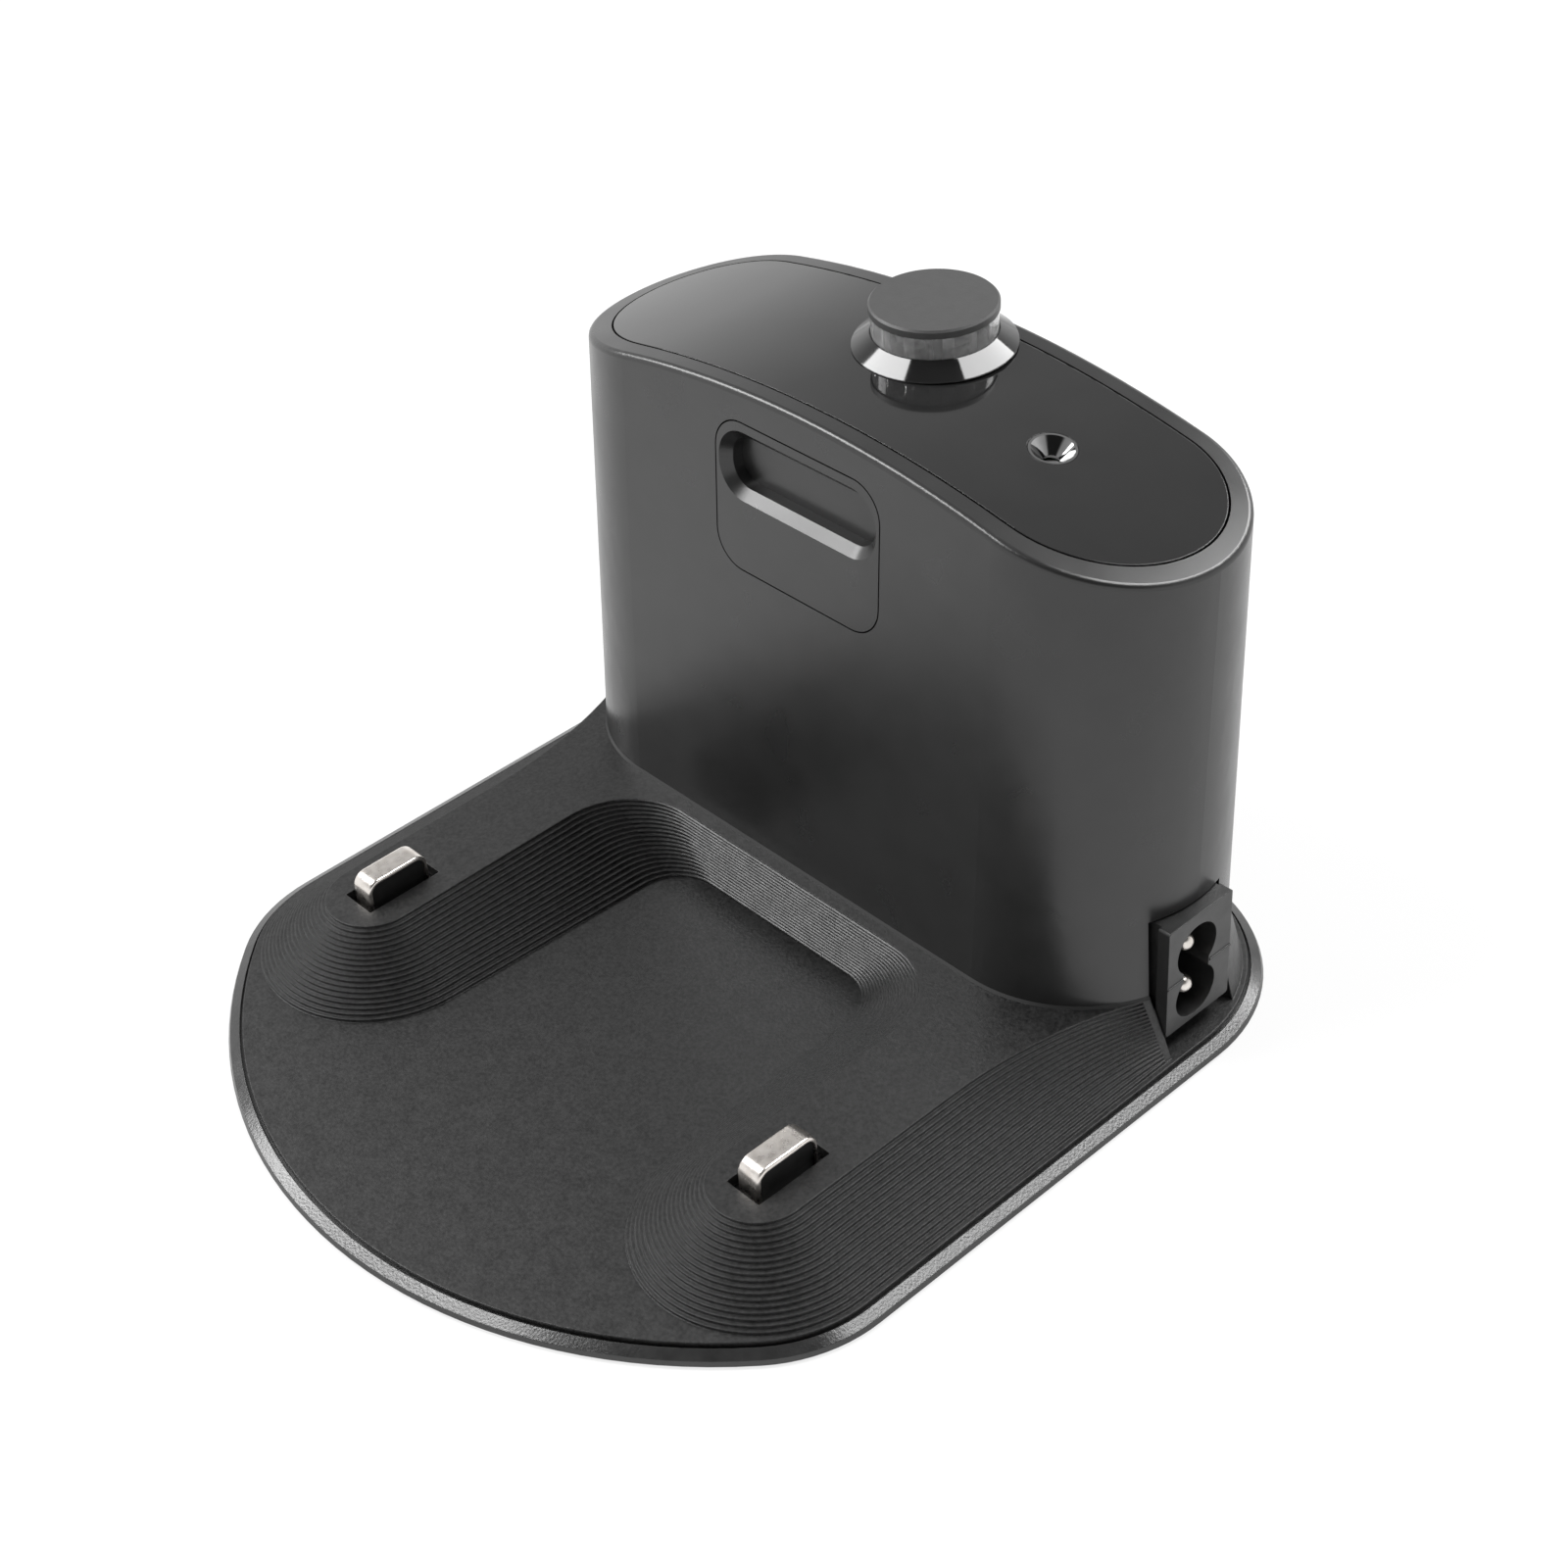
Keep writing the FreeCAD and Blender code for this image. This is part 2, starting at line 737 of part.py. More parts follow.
def make_base_plate():
    """Flat plate with a drafted lip and a bevelled rim, countersunk holes and seats for the feet."""
    low = mm("base_bottom")
    lip_top = low + mm("rim_lip")
    rim_top = lip_top + mm("rim_rise")
    foot = at_height(base_outline(0), low)
    shoulder = at_height(base_outline(mm("rim_draft")), lip_top)
    inner = base_outline(mm("rim_width"))
    tray = Part.makeLoft([foot, shoulder, at_height(inner, rim_top)], True, True)
    plate = tray.cut(prism(inner, val(PLATE_TOP), rim_top)).removeSplitter()
    holes = [countersunk(x, y, mm("screw_clearance")) for x, y in base_screw_places()]
    seat_radius = mm("foot_pad_radius") + mm("foot_pad_clearance")
    holes += [upright(x, y, seat_radius, 0, mm("foot_pad_thickness")) for x, y in foot_pad_places()]
    return plate.cut(holes)


def make_deck():
    """Terraced deck, hollow under the arms and open under the tower."""
    bottom = val(PLATE_TOP)
    top = val(DECK_TOP)
    roof = val(ROOF_UNDER)
    arm_x = val(ARM_X)
    contact_y = val(CONTACT_Y)
    slot_half_x = mm("contact_slot_width") / 2
    slot_half_y = mm("contact_slot_length") / 2
    well = mm("contact_well_margin")
    channel = mm("lead_channel_half")
    riser_y = y_of("lead_rise_from_rear")
    cuts = []
    for side in (-1, 1):
        x = side * arm_x
        cuts.append(centred_box(x, contact_y, slot_half_x, slot_half_y, bottom, top))
        cuts.append(centred_box(x, contact_y, slot_half_x + well, slot_half_y + well, bottom, roof))
        channel_length = riser_y + channel - contact_y
        start = Vector(x - channel, contact_y, bottom)
        cuts.append(Part.makeBox(2 * channel, channel_length, mm("lead_channel_height"), start))
        cuts.append(centred_box(x, riser_y, channel, channel, bottom, top))
    opening_front = y_of("tower_opening_front_from_rear")
    opening_back = y_of("tower_opening_back_from_rear")
    middle_y = (opening_front + opening_back) / 2
    half_x = arm_x - channel - mm("lead_channel_web")
    half_y = (opening_back - opening_front) / 2
    cuts.append(centred_box(0, middle_y, half_x, half_y, bottom, top))

    # Seat for the inlet body, open to the inside of the tower, and the notch in the flank in front of it
    inlet_half = mm("inlet_width") / 2 + mm("inlet_gap")
    seat_end = val(INLET_FACE) - mm("inlet_plate")
    seat_start = Vector(half_x, val(INLET_Y) - inlet_half, mm("inlet_floor"))
    cuts.append(Part.makeBox(seat_end - half_x, 2 * inlet_half, top, seat_start))
    notch_front = y_of("notch_front_from_rear")
    notch_back = y_of("notch_back_from_rear")
    notch_start = Vector(seat_end, notch_front, val(FLOOR_TOP))
    cuts.append(Part.makeBox(mm("base_half_width"), notch_back - notch_front, top, notch_start))

    screw = mm("screw_radius") + mm("screw_clearance")
    for x, y in tower_screw_places():
        cuts.append(upright(x, y, mm("counterbore_radius"), bottom, top - mm("web_thickness")))
        cuts.append(upright(x, y, screw, bottom, top))
    for x, y in base_screw_places():
        cuts.append(upright(x, y, screw, bottom, bottom + mm("base_screw_length")))
    return deck_block().cut(cuts)


def arch_block(drop):
    """Solid under the arched top of the tower, lowered by a drop."""
    radius = mm("crown_radius") - drop
    half = mm("base_half_width")
    centre_z = mm("tower_height") - mm("crown_radius")
    edge_z = centre_z + sqrt(radius**2 - half**2)
    depth = mm("base_half_depth")
    left = Vector(-half, -depth, edge_z)
    right = Vector(half, -depth, edge_z)
    crown = Part.Arc(left, Vector(0, -depth, centre_z + radius), right).toShape()
    sides = Part.makePolygon([right, Vector(half, -depth, 0), Vector(-half, -depth, 0), left])
    return Part.Face(Part.Wire([crown] + sides.Edges)).extrude(Vector(0, 2 * depth, 0))


def tower_block(inset):
    """Drafted solid of the tower to a little above its crown, drawn in by an inset."""
    foot_z = val(DECK_TOP)
    beyond_z = foot_z + BEYOND_CROWN * (mm("tower_height") - foot_z)
    foot = at_height(tower_outline(0, inset), foot_z)
    beyond = at_height(tower_outline(BEYOND_CROWN, inset), beyond_z)
    return Part.makeLoft([foot, beyond], True, True)


def on_arch(edge):
    """Whether an edge lies on the arched top."""
    middle = edge.valueAt((edge.FirstParameter + edge.LastParameter) / 2)
    centre_z = mm("tower_height") - mm("crown_radius")
    return abs(hypot(middle.x, middle.z - centre_z) - mm("crown_radius")) < 0.01


def wall_tilt():
    """Angle in degrees by which the front wall leans back."""
    lean = y_of("top_front_from_rear") - y_of("foot_front_from_rear")
    return degrees(atan2(lean, mm("tower_height") - val(DECK_TOP)))


def front_wall_placement():
    """Place on the front wall at the middle of its panel, with local Z pointing out of the wall."""
    tilt = wall_tilt()
    height = val(FRONT_PANEL_Z)
    y = y_of("foot_front_from_rear") + (height - val(DECK_TOP)) * tan(radians(tilt))
    return Placement(Vector(0, y, height), Rotation(Vector(1, 0, 0), 90 - tilt))


def rounded_rectangle(width, length, corner):
    """Level wire of a rectangle with rounded corners about the origin."""
    x = width / 2 - corner
    y = length / 2 - corner
    half = [
        arc(x, -y, corner, -90, 0),
        line(x + corner, -y, x + corner, y),
        arc(x, y, corner, 0, 90),
    ]
    middle = [line(-x, -y - corner, x, -y - corner), line(-x, y + corner, x, y + corner)]
    return mirrored_wire(half, middle)


def foot_lip():
    """Thin bevelled lip round the foot of the tower, drawn on into the wall behind it."""
    foot_z = val(DECK_TOP)
    width = mm("foot_lip_width")
    low = at_height(tower_outline(0, -width), foot_z)
    high = at_height(tower_outline(0, width), foot_z + 2 * mm("foot_lip_height"))
    return Part.makeLoft([low, high], True, True)


def make_tower_shell():
    """Hollow tower with an arched top, seats for its panels and bosses for its screws."""
    outer = tower_block(0).common(arch_block(0))
    crown_edges = [edge for edge in outer.Edges if on_arch(edge)]
    outer = outer.makeFillet(mm("crown_edge_radius"), crown_edges).fuse(foot_lip())
    roof = mm("panel_thickness") + mm("wall_thickness")
    inner = tower_block(mm("wall_thickness")).common(arch_block(roof))
    shell = outer.cut(inner)

    top = mm("tower_height")
    seat = tower_outline(1, mm("panel_inset") - mm("panel_gap"))
    hole = tower_outline(1, mm("panel_inset") + mm("panel_ledge"))
    low = top / 2
    shell = shell.cut(prism(seat, low, top).cut(arch_block(mm("panel_thickness"))))
    shell = shell.cut(prism(hole, low, top))

    gap = mm("front_panel_gap")
    window_width = mm("front_panel_width") + 2 * gap
    window_length = mm("front_panel_length") + 2 * gap
    window = rounded_rectangle(window_width, window_length, mm("front_panel_corner") + gap)
    window_cut = prism(window, -2 * mm("wall_thickness"), mm("wall_thickness"))
    window_cut.Placement = front_wall_placement()
    gap = mm("inlet_gap")
    half = mm("inlet_width") / 2 + gap
    inlet_top = mm("inlet_floor") + mm("inlet_length") + gap
    inlet_start = Vector(val(INLET_REAR), val(INLET_Y) - half, 0)
    inlet_cut = Part.makeBox(mm("base_half_width"), 2 * half, inlet_top, inlet_start)

    deck_top = val(DECK_TOP)
    screw = mm("screw_radius") + mm("screw_clearance")
    bosses = []
    holes = [window_cut, inlet_cut]
    for x, y in tower_screw_places():
        bosses.append(upright(x, y, mm("boss_radius"), deck_top, deck_top + mm("boss_height")))
        holes.append(upright(x, y, screw, deck_top, deck_top + mm("screw_length")))
    board_back = val(MAIN_BOARD_Y) + mm("board_thickness")
    post_length = y_of("top_back_from_rear") - mm("wall_thickness") / 2 - board_back
    low_post = mm("main_board_level") + mm("main_post_inset")
    high_post = mm("main_board_level") + mm("main_board_height") - mm("main_post_inset")
    for x in (-mm("main_post_x"), mm("main_post_x")):
        for z in (low_post, high_post):
            start = Vector(x, board_back, z)
            bosses.append(Part.makeCylinder(mm("board_post_radius"), post_length, start, Vector(0, 1, 0)))
    return shell.fuse(bosses).cut(holes).removeSplitter()


def indicator_frame():
    """Place of the indicator on the arched top, with local Z square to the arch."""
    x = mm("indicator_x")
    radius = mm("crown_radius")
    z = mm("tower_height") - radius + sqrt(radius**2 - x**2)
    lean = degrees(atan2(x, sqrt(radius**2 - x**2)))
    return Placement(Vector(x, y_of("indicator_from_rear"), z), Rotation(Vector(0, 1, 0), lean))


def beacon_post_places():
    """Places of the posts between the top panel and the board under it."""
    inset = 2 * mm("board_post_radius")
    left = inset - mm("beacon_board_left")
    right = mm("beacon_board_right") - inset
    front = y_of("beacon_board_front_from_rear") + inset
    back = y_of("beacon_board_back_from_rear") - inset
    return [(left, front), (right, back)]


def make_top_panel():
    """Arched panel with holes for the beacon and the indicator, and posts for the board."""
    top = mm("tower_height")
    outline = tower_outline(1, mm("panel_inset"))
    lowered = arch_block(mm("panel_thickness"))
    panel = prism(outline, top / 2, top).common(arch_block(0)).cut(lowered)
    post_tops = arch_block(mm("panel_thickness") / 2)
    posts = [
        upright(x, y, mm("board_post_radius"), val(BEACON_BOARD_TOP), top).common(post_tops)
        for x, y in beacon_post_places()
    ]
    stem = mm("collar_stem_radius") + mm("collar_clearance")
    beacon_hole = upright(0, val(BEACON_Y), stem, top / 2, 2 * top)
    depth = 2 * mm("panel_thickness")
    cup_hole = upright(0, 0, mm("indicator_radius") + mm("collar_clearance"), -depth, depth)
    cup_hole.Placement = indicator_frame()
    return panel.fuse(posts).cut([beacon_hole, cup_hole]).removeSplitter()


def rounded_path(points, bend):
    """Wire of straight runs through points, with a tangent arc at each corner."""
    edges = []
    start = points[0]
    for before, corner, after in zip(points, points[1:], points[2:]):
        towards = (before - corner).normalize()
        onward = (after - corner).normalize()
        first = corner + towards * bend
        last = corner + onward * bend
        centre = first + onward * bend
        middle = centre + (corner - centre).normalize() * bend
        edges.append(Part.makeLine(start, first))
        edges.append(Part.Arc(first, middle, last).toShape())
        start = last
    edges.append(Part.makeLine(start, points[-1]))
    return Part.Wire(edges)


def lead(points):
    """Round insulated lead along a path with square corners."""
    direction = points[1] - points[0]
    section = Part.Wire(Part.makeCircle(mm("lead_radius"), points[0], direction))
    return rounded_path(points, mm("lead_bend")).makePipeShell([section], True, False)


def make_contact_leads():
    """Leads from the contact terminals under the deck to the main board."""
    start_y = val(CONTACT_Y) + mm("terminal_length") / 2
    riser_y = y_of("lead_rise_from_rear")
    low = val(TERMINAL_TOP) + mm("lead_radius")
    high = mm("lead_level")
    leads = []
    for side in (-1, 1):
        x = side * val(ARM_X)
        path = [
            Vector(x, start_y, low),
            Vector(x, riser_y, low),
            Vector(x, riser_y, high),
            Vector(x, val(MAIN_BOARD_Y), high),
        ]
        leads.append(lead(path))
    return Part.makeCompound(leads)


def make_inlet_leads():
    """Leads from the tails of the inlet pins to the main board."""
    y = val(PIN_Y)
    turn_x = x_of("inlet_lead_inset")
    leads = []
    for level in PIN_LEVELS.values():
        z = val(level)
        path = [
            Vector(val(PIN_END), y, z),
            Vector(turn_x, y, z),
            Vector(turn_x, val(MAIN_BOARD_Y), z),
        ]
        leads.append(lead(path))
    return Part.makeCompound(leads)


def make_tower_screws():
    """Pan-head screws that hold the tower down through the deck."""
    head_top = val(DECK_TOP) - mm("web_thickness")
    end = val(DECK_TOP) + mm("screw_length") - mm("screw_clearance")
    screws = []
    for x, y in tower_screw_places():
        head = upright(x, y, mm("screw_head_radius"), head_top - mm("screw_head_height"), head_top)
        screws.append(head.fuse(upright(x, y, mm("screw_radius"), head_top, end)))
    return Part.makeCompound(screws)


def make_base_screws():
    """Countersunk screws that hold the base plate to the deck."""
    low = val(PLATE_TOP)
    high = low + mm("base_screw_length") - mm("screw_clearance")
    screws = []
    for x, y in base_screw_places():
        shank = upright(x, y, mm("screw_radius"), low, high)
        screws.append(countersunk(x, y, 0).fuse(shank).removeSplitter())
    return Part.makeCompound(screws)


def make_contact(side_name, side):
    """Sprung contact of one arm: bent strip, carrier, leaf spring and terminal."""
    x = f"{side} * ({ARM_X})"
    strip_height = f"({CONTACT_TOP}) - ({FLANGE_TOP})"

    strip = new_body(f"{side_name}_contact")
    outer = outline_sketch(
        strip, f"{side_name}_strip_outline", "YZ_Plane",
        rectangle("Sizes.contact_length", strip_height, middle_y=f"({strip_height}) / 2"),
    )
    pad(strip, outer, f"{side_name}_strip_pad", "Sizes.contact_width", midplane=True)
    inner_height = f"{strip_height} - Sizes.contact_strip"
    inner_length = "Sizes.contact_length - 2 * Sizes.contact_strip"
    inner = outline_sketch(
        strip, f"{side_name}_strip_inside", "YZ_Plane",
        rectangle(inner_length, inner_height, middle_y=f"({inner_height}) / 2"),
    )
    feature = pocket(strip, inner, f"{side_name}_strip_cut", "2 * Sizes.contact_width", midplane=True)
    inner_top = val(inner_height)
    inner_half = mm("contact_length") / 2 - mm("contact_strip")
    inner_bend = "Sizes.contact_corner - Sizes.contact_strip"
    feature = dress(
        strip, "Fillet", f"{side_name}_strip_inner_bend", feature, inner_bend,
        lambda middle, along: abs(along.x) > 0.9
        and abs(middle.z - inner_top) < 0.01
        and abs(abs(middle.y) - inner_half) < 0.01,
    )
    outer_top = val(strip_height)
    feature = dress(
        strip, "Fillet", f"{side_name}_strip_bend", feature, "Sizes.contact_corner",
        lambda middle, along: abs(along.x) > 0.9 and abs(middle.z - outer_top) < 0.01,
    )
    strip.Tip = feature
    place(strip, x=x, y=CONTACT_Y, z=FLANGE_TOP)

    carrier = new_body(f"{side_name}_contact_carrier")
    flange_width = "Sizes.contact_slot_width + 2 * Sizes.carrier_overlap"
    flange_length = "Sizes.contact_slot_length + 2 * Sizes.carrier_overlap"
    flange = outline_sketch(
        carrier, f"{side_name}_flange", "XY_Plane", rectangle(flange_width, flange_length)
    )
    pad(carrier, flange, f"{side_name}_flange_pad", "Sizes.carrier_flange", reverse=True)
    core_width = "Sizes.contact_width - 2 * Sizes.carrier_margin"
    core_length = f"{inner_length} - 2 * Sizes.carrier_fit"
    core = outline_sketch(carrier, f"{side_name}_core", "XY_Plane", rectangle(core_width, core_length))
    feature = pad(carrier, core, f"{side_name}_core_pad", f"{inner_height} - Sizes.carrier_fit")
    core_top = val(inner_height) - mm("carrier_fit")
    feature = dress(
        carrier, "Fillet", f"{side_name}_core_round", feature, inner_bend,
        lambda middle, along: abs(along.x) > 0.9 and abs(middle.z - core_top) < 0.01,
    )
    carrier.Tip = feature
    place(carrier, x=x, y=CONTACT_Y, z=FLANGE_TOP)

    # Z-shaped leaf, with flat ends and one slanted run between them
    spring = new_body(f"{side_name}_contact_spring")
    half = "Sizes.spring_half_length"
    thick = "Sizes.spring_strip"
    fold = "Sizes.spring_fold"
    run = "Sizes.spring_run"
    tall = f"({SPRING_HEIGHT})"
    leaf = outline_sketch(
        spring, f"{side_name}_leaf", "YZ_Plane",
        [
            (f"-{half}", tall),
            (half, tall),
            (half, f"{tall} - {thick} - {fold}"),
            (f"-{half} + {run}", thick),
            (half, thick),
            (half, "0"),
            (f"-{half}", "0"),
            (f"-{half}", f"{thick} + {fold}"),
            (f"{half} - {run}", f"{tall} - {thick}"),
            (f"-{half}", f"{tall} - {thick}"),
        ],
    )
    pad(spring, leaf, f"{side_name}_leaf_pad", "Sizes.spring_width", midplane=True)
    place(spring, x=x, y=CONTACT_Y, z=TERMINAL_TOP)

    seat = box(
        f"{side_name}_terminal_seat",
        "Sizes.terminal_width", "Sizes.terminal_length", "Sizes.terminal_thickness",
        x=f"{x} - Sizes.terminal_width / 2", y=f"{CONTACT_Y} - Sizes.terminal_length / 2", z=PLATE_TOP,
    )
    tail = box(
        f"{side_name}_terminal_tail", "Sizes.terminal_tail_width",
        "Sizes.terminal_length / 2 + Sizes.terminal_tail_length", "Sizes.terminal_thickness",
        x=f"{x} - Sizes.terminal_tail_width / 2", y=CONTACT_Y, z=PLATE_TOP,
    )
    terminal = fused(f"{side_name}_contact_terminal", [seat, tail])
    return [strip, carrier, spring, terminal]


def make_front_panel():
    """Panel in the front wall with a slot in it, a flange behind the wall and posts for the beam board."""
    body = new_body("front_panel")
    lip = "Sizes.wall_thickness"
    flange_back = f"-{lip} - Sizes.front_panel_flange"
    tub_back = "-Sizes.slot_depth - Sizes.slot_wall"
    plate = outline_sketch(
        body, "front_plate", "XY_Plane", rectangle("Sizes.front_panel_width", "Sizes.front_panel_length")
    )
    feature = pad(body, plate, "front_plate_pad", lip, reverse=True)
    feature = dress(
        body, "Fillet", "front_plate_corners", feature, "Sizes.front_panel_corner",
        lambda middle, along: abs(along.z) > 0.9,
    )
    flange_width = "Sizes.front_panel_width + 2 * Sizes.front_panel_lip"
    flange_length = "Sizes.front_panel_length + Sizes.front_panel_lip - Sizes.front_flange_drop"
    flange_middle = "-(Sizes.front_panel_lip + Sizes.front_flange_drop) / 2"
    flange = outline_sketch(
        body, "front_flange", "XY_Plane",
        rectangle(flange_width, flange_length, middle_y=flange_middle),
        offset=flange_back,
    )
    pad(body, flange, "front_flange_pad", "Sizes.front_panel_flange")
    tub = outline_sketch(
        body, "front_tub", "XY_Plane",
        rectangle(
            "Sizes.slot_width + 2 * Sizes.slot_wall", "Sizes.slot_length + 2 * Sizes.slot_wall",
            middle_y="Sizes.slot_rise",
        ),
        offset=tub_back,
    )
    pad(body, tub, "front_tub_pad", f"Sizes.slot_depth + Sizes.slot_wall - {lip}")
    slot = outline_sketch(
        body, "front_slot", "XY_Plane",
        rectangle("Sizes.slot_width", "Sizes.slot_length", middle_y="Sizes.slot_rise"),
    )
    feature = pocket(body, slot, "front_slot_cut", "Sizes.slot_depth")
    depth = mm("slot_depth")
    slot_half = mm("slot_width") / 2
    feature = dress(
        body, "Fillet", "front_slot_corners", feature, "Sizes.slot_corner",
        lambda middle, along: abs(along.z) > 0.9
        and abs(middle.z + depth / 2) < 0.01
        and abs(abs(middle.x) - slot_half) < 0.01,
    )
    low_edge = mm("slot_rise") - mm("slot_length") / 2
    feature = dress(
        body, "Chamfer", "front_slot_bevel", feature, "Sizes.slot_bevel",
        lambda middle, along: abs(along.x) > 0.9 and abs(middle.z) < 0.01 and abs(middle.y - low_edge) < 0.01,
    )
    for name, sign in (("left", "-"), ("right", "+")):
        post = outline_sketch(
            body, f"beam_post_{name}", "XY_Plane",
            rectangle(
                "2 * Sizes.beam_post_radius", "2 * Sizes.beam_post_radius",
                middle_x=f"{sign}Sizes.beam_post_spacing / 2", middle_y="-Sizes.slot_rise / 2",
            ),
            offset=flange_back,
        )
        feature = pad(body, post, f"beam_post_{name}_pad", BEAM_POST_LENGTH, reverse=True)
    body.Tip = feature
    body.Placement = front_wall_placement()
    return body


def on_front_wall(label, members):
    """Group of pieces drawn about the middle of the front panel and moved onto the wall."""
    item = group(label, members)
    item.Placement = front_wall_placement()
    return item


def make_beam_pieces():
    """Pair of beam emitters and the board that carries them."""
    emitters = [
        cylinder(
            f"beam_emitter_{name}", "Sizes.beam_radius", "Sizes.beam_length",
            x=f"{sign}Sizes.beam_spacing / 2", y="Sizes.slot_rise", z=BEAM_BOARD_FRONT,
        )
        for name, sign in (("left", "-"), ("right", "+"))
    ]
    board = box(
        "beam_board_blank", "Sizes.beam_board_width", "Sizes.beam_board_length", "Sizes.board_thickness",
        x="-Sizes.beam_board_width / 2",
        y="Sizes.slot_rise / 2 - Sizes.beam_board_length / 2",
        z=f"{BEAM_BOARD_FRONT} - Sizes.board_thickness",
    )
    return [on_front_wall("docking_emitters", emitters), on_front_wall("emitter_board", [board])]


def make_inlet_socket():
    """Two-pole inlet: a face plate, a body behind it and a figure-eight cavity."""
    body = new_body("inlet_socket")
    block = outline_sketch(
        body, "inlet_block", "XY_Plane",
        rectangle("Sizes.inlet_width - 2 * Sizes.inlet_shoulder", "Sizes.inlet_length"),
        offset="-Sizes.inlet_depth",
    )
    pad(body, block, "inlet_block_pad", "Sizes.inlet_depth")
    plate = outline_sketch(
        body, "inlet_plate_outline", "XY_Plane", rectangle("Sizes.inlet_width", "Sizes.inlet_length")
    )
    feature = pad(body, plate, "inlet_plate_pad", "Sizes.inlet_plate", reverse=True)
    half_width = mm("inlet_width") / 2
    dress(
        body, "Fillet", "inlet_plate_corners", feature, "Sizes.inlet_edge_radius",
        lambda middle, along: abs(along.z) > 0.9 and abs(abs(middle.x) - half_width) < 0.01,
    )
    middle_x = "-Sizes.socket_forward"
    neck = outline_sketch(
        body, "inlet_neck", "XY_Plane",
        rectangle("Sizes.socket_neck", "Sizes.pin_spacing", middle_x, "-Sizes.socket_drop"),
    )
    pocket(body, neck, "inlet_neck_cut", "Sizes.socket_depth")
    for name, level in PIN_LEVELS.items():
        middle_y = f"{level} - ({INLET_Z})"
        round_cut = circle_sketch(
            body, f"inlet_round_{name}", "XY_Plane", "Sizes.socket_radius", middle_x, middle_y
        )
        pocket(body, round_cut, f"inlet_round_{name}_cut", "Sizes.socket_depth")
    for name, level in PIN_LEVELS.items():
        middle_y = f"{level} - ({INLET_Z})"
        hole_radius = "Sizes.pin_root_radius + Sizes.pin_clearance"
        pin_hole = circle_sketch(body, f"inlet_pin_hole_{name}", "XY_Plane", hole_radius, middle_x, middle_y)
        feature = pocket(body, pin_hole, f"inlet_pin_hole_{name}_cut", "2 * Sizes.inlet_depth", midplane=True)
    body.Tip = feature
    return place(body, x=INLET_FACE, y=INLET_Y, z=INLET_Z, axis=Vector(1, 1, 1), angle=120)


def make_inlet_pins():
    """Two round pins along X, each with a thicker root in the back wall of the socket."""
    pins = []
    for name, level in PIN_LEVELS.items():
        root = cylinder(
            f"pin_root_{name}", "Sizes.pin_root_radius", f"{SOCKET_FLOOR} - ({PIN_END})",
            x=PIN_END, y=PIN_Y, z=level, axis=Vector(0, 1, 0), angle=90,
        )
        shank = cylinder(
            f"pin_shank_{name}", "Sizes.pin_radius", "Sizes.socket_depth - Sizes.pin_setback",
            x=SOCKET_FLOOR, y=PIN_Y, z=level, axis=Vector(0, 1, 0), angle=90,
        )
        pins.append(fused(f"inlet_pin_{name}", [root, shank]))
    return group("inlet_pins", pins)


def make_beacon():
    """Beacon on the top panel: collar, clear lens, cap, board and emitter."""
    bore = "Sizes.beacon_bore_radius"
    collar = turned(
        "beacon_collar",
        [
            (bore, "-Sizes.collar_stem_length"),
            ("Sizes.collar_stem_radius", "-Sizes.collar_stem_length"),
            ("Sizes.collar_stem_radius", "0"),
            ("Sizes.collar_radius", "0"),
            ("Sizes.collar_radius", "Sizes.collar_flange"),
            ("Sizes.lens_radius", "Sizes.collar_flange"),
            ("Sizes.lens_radius", "Sizes.collar_height"),
            (bore, "Sizes.collar_height"),
        ],
        y=BEACON_Y, z=COLLAR_SEAT,
    )
    lens_bore = "Sizes.lens_radius - Sizes.lens_wall"
    lens = turned(
        "beacon_lens",
        [
            (lens_bore, "0"),
            ("Sizes.lens_radius", "0"),
            ("Sizes.lens_radius", "Sizes.lens_height"),
            (lens_bore, "Sizes.lens_height"),
        ],
        y=BEACON_Y, z=LENS_SEAT,
    )
    spigot = f"{lens_bore} - Sizes.spigot_clearance"
    cap = turned(
        "beacon_cap",
        [
            ("0", "-Sizes.cap_spigot"),
            (spigot, "-Sizes.cap_spigot"),
            (spigot, "0"),
            ("Sizes.cap_radius", "0"),
            ("Sizes.cap_radius", "Sizes.cap_height - Sizes.cap_bevel"),
            ("Sizes.cap_radius - Sizes.cap_bevel", "Sizes.cap_height"),
            ("0", "Sizes.cap_height"),
        ],
        y=BEACON_Y, z=CAP_SEAT,
    )
    board = box(
        "beacon_board", "Sizes.beacon_board_left + Sizes.beacon_board_right",
        "Sizes.beacon_board_front_from_rear - Sizes.beacon_board_back_from_rear", "Sizes.board_thickness",
        x="-Sizes.beacon_board_left",
        y=along("beacon_board_front_from_rear"),
        z=f"{BEACON_BOARD_TOP} - Sizes.board_thickness",
    )
    emitter_top = f"{LENS_SEAT} + Sizes.emitter_tip - ({BEACON_BOARD_TOP})"
    emitter = cylinder("beacon_emitter", "Sizes.emitter_radius", emitter_top, y=BEACON_Y, z=BEACON_BOARD_TOP)
    return [collar, lens, cap, board, emitter]


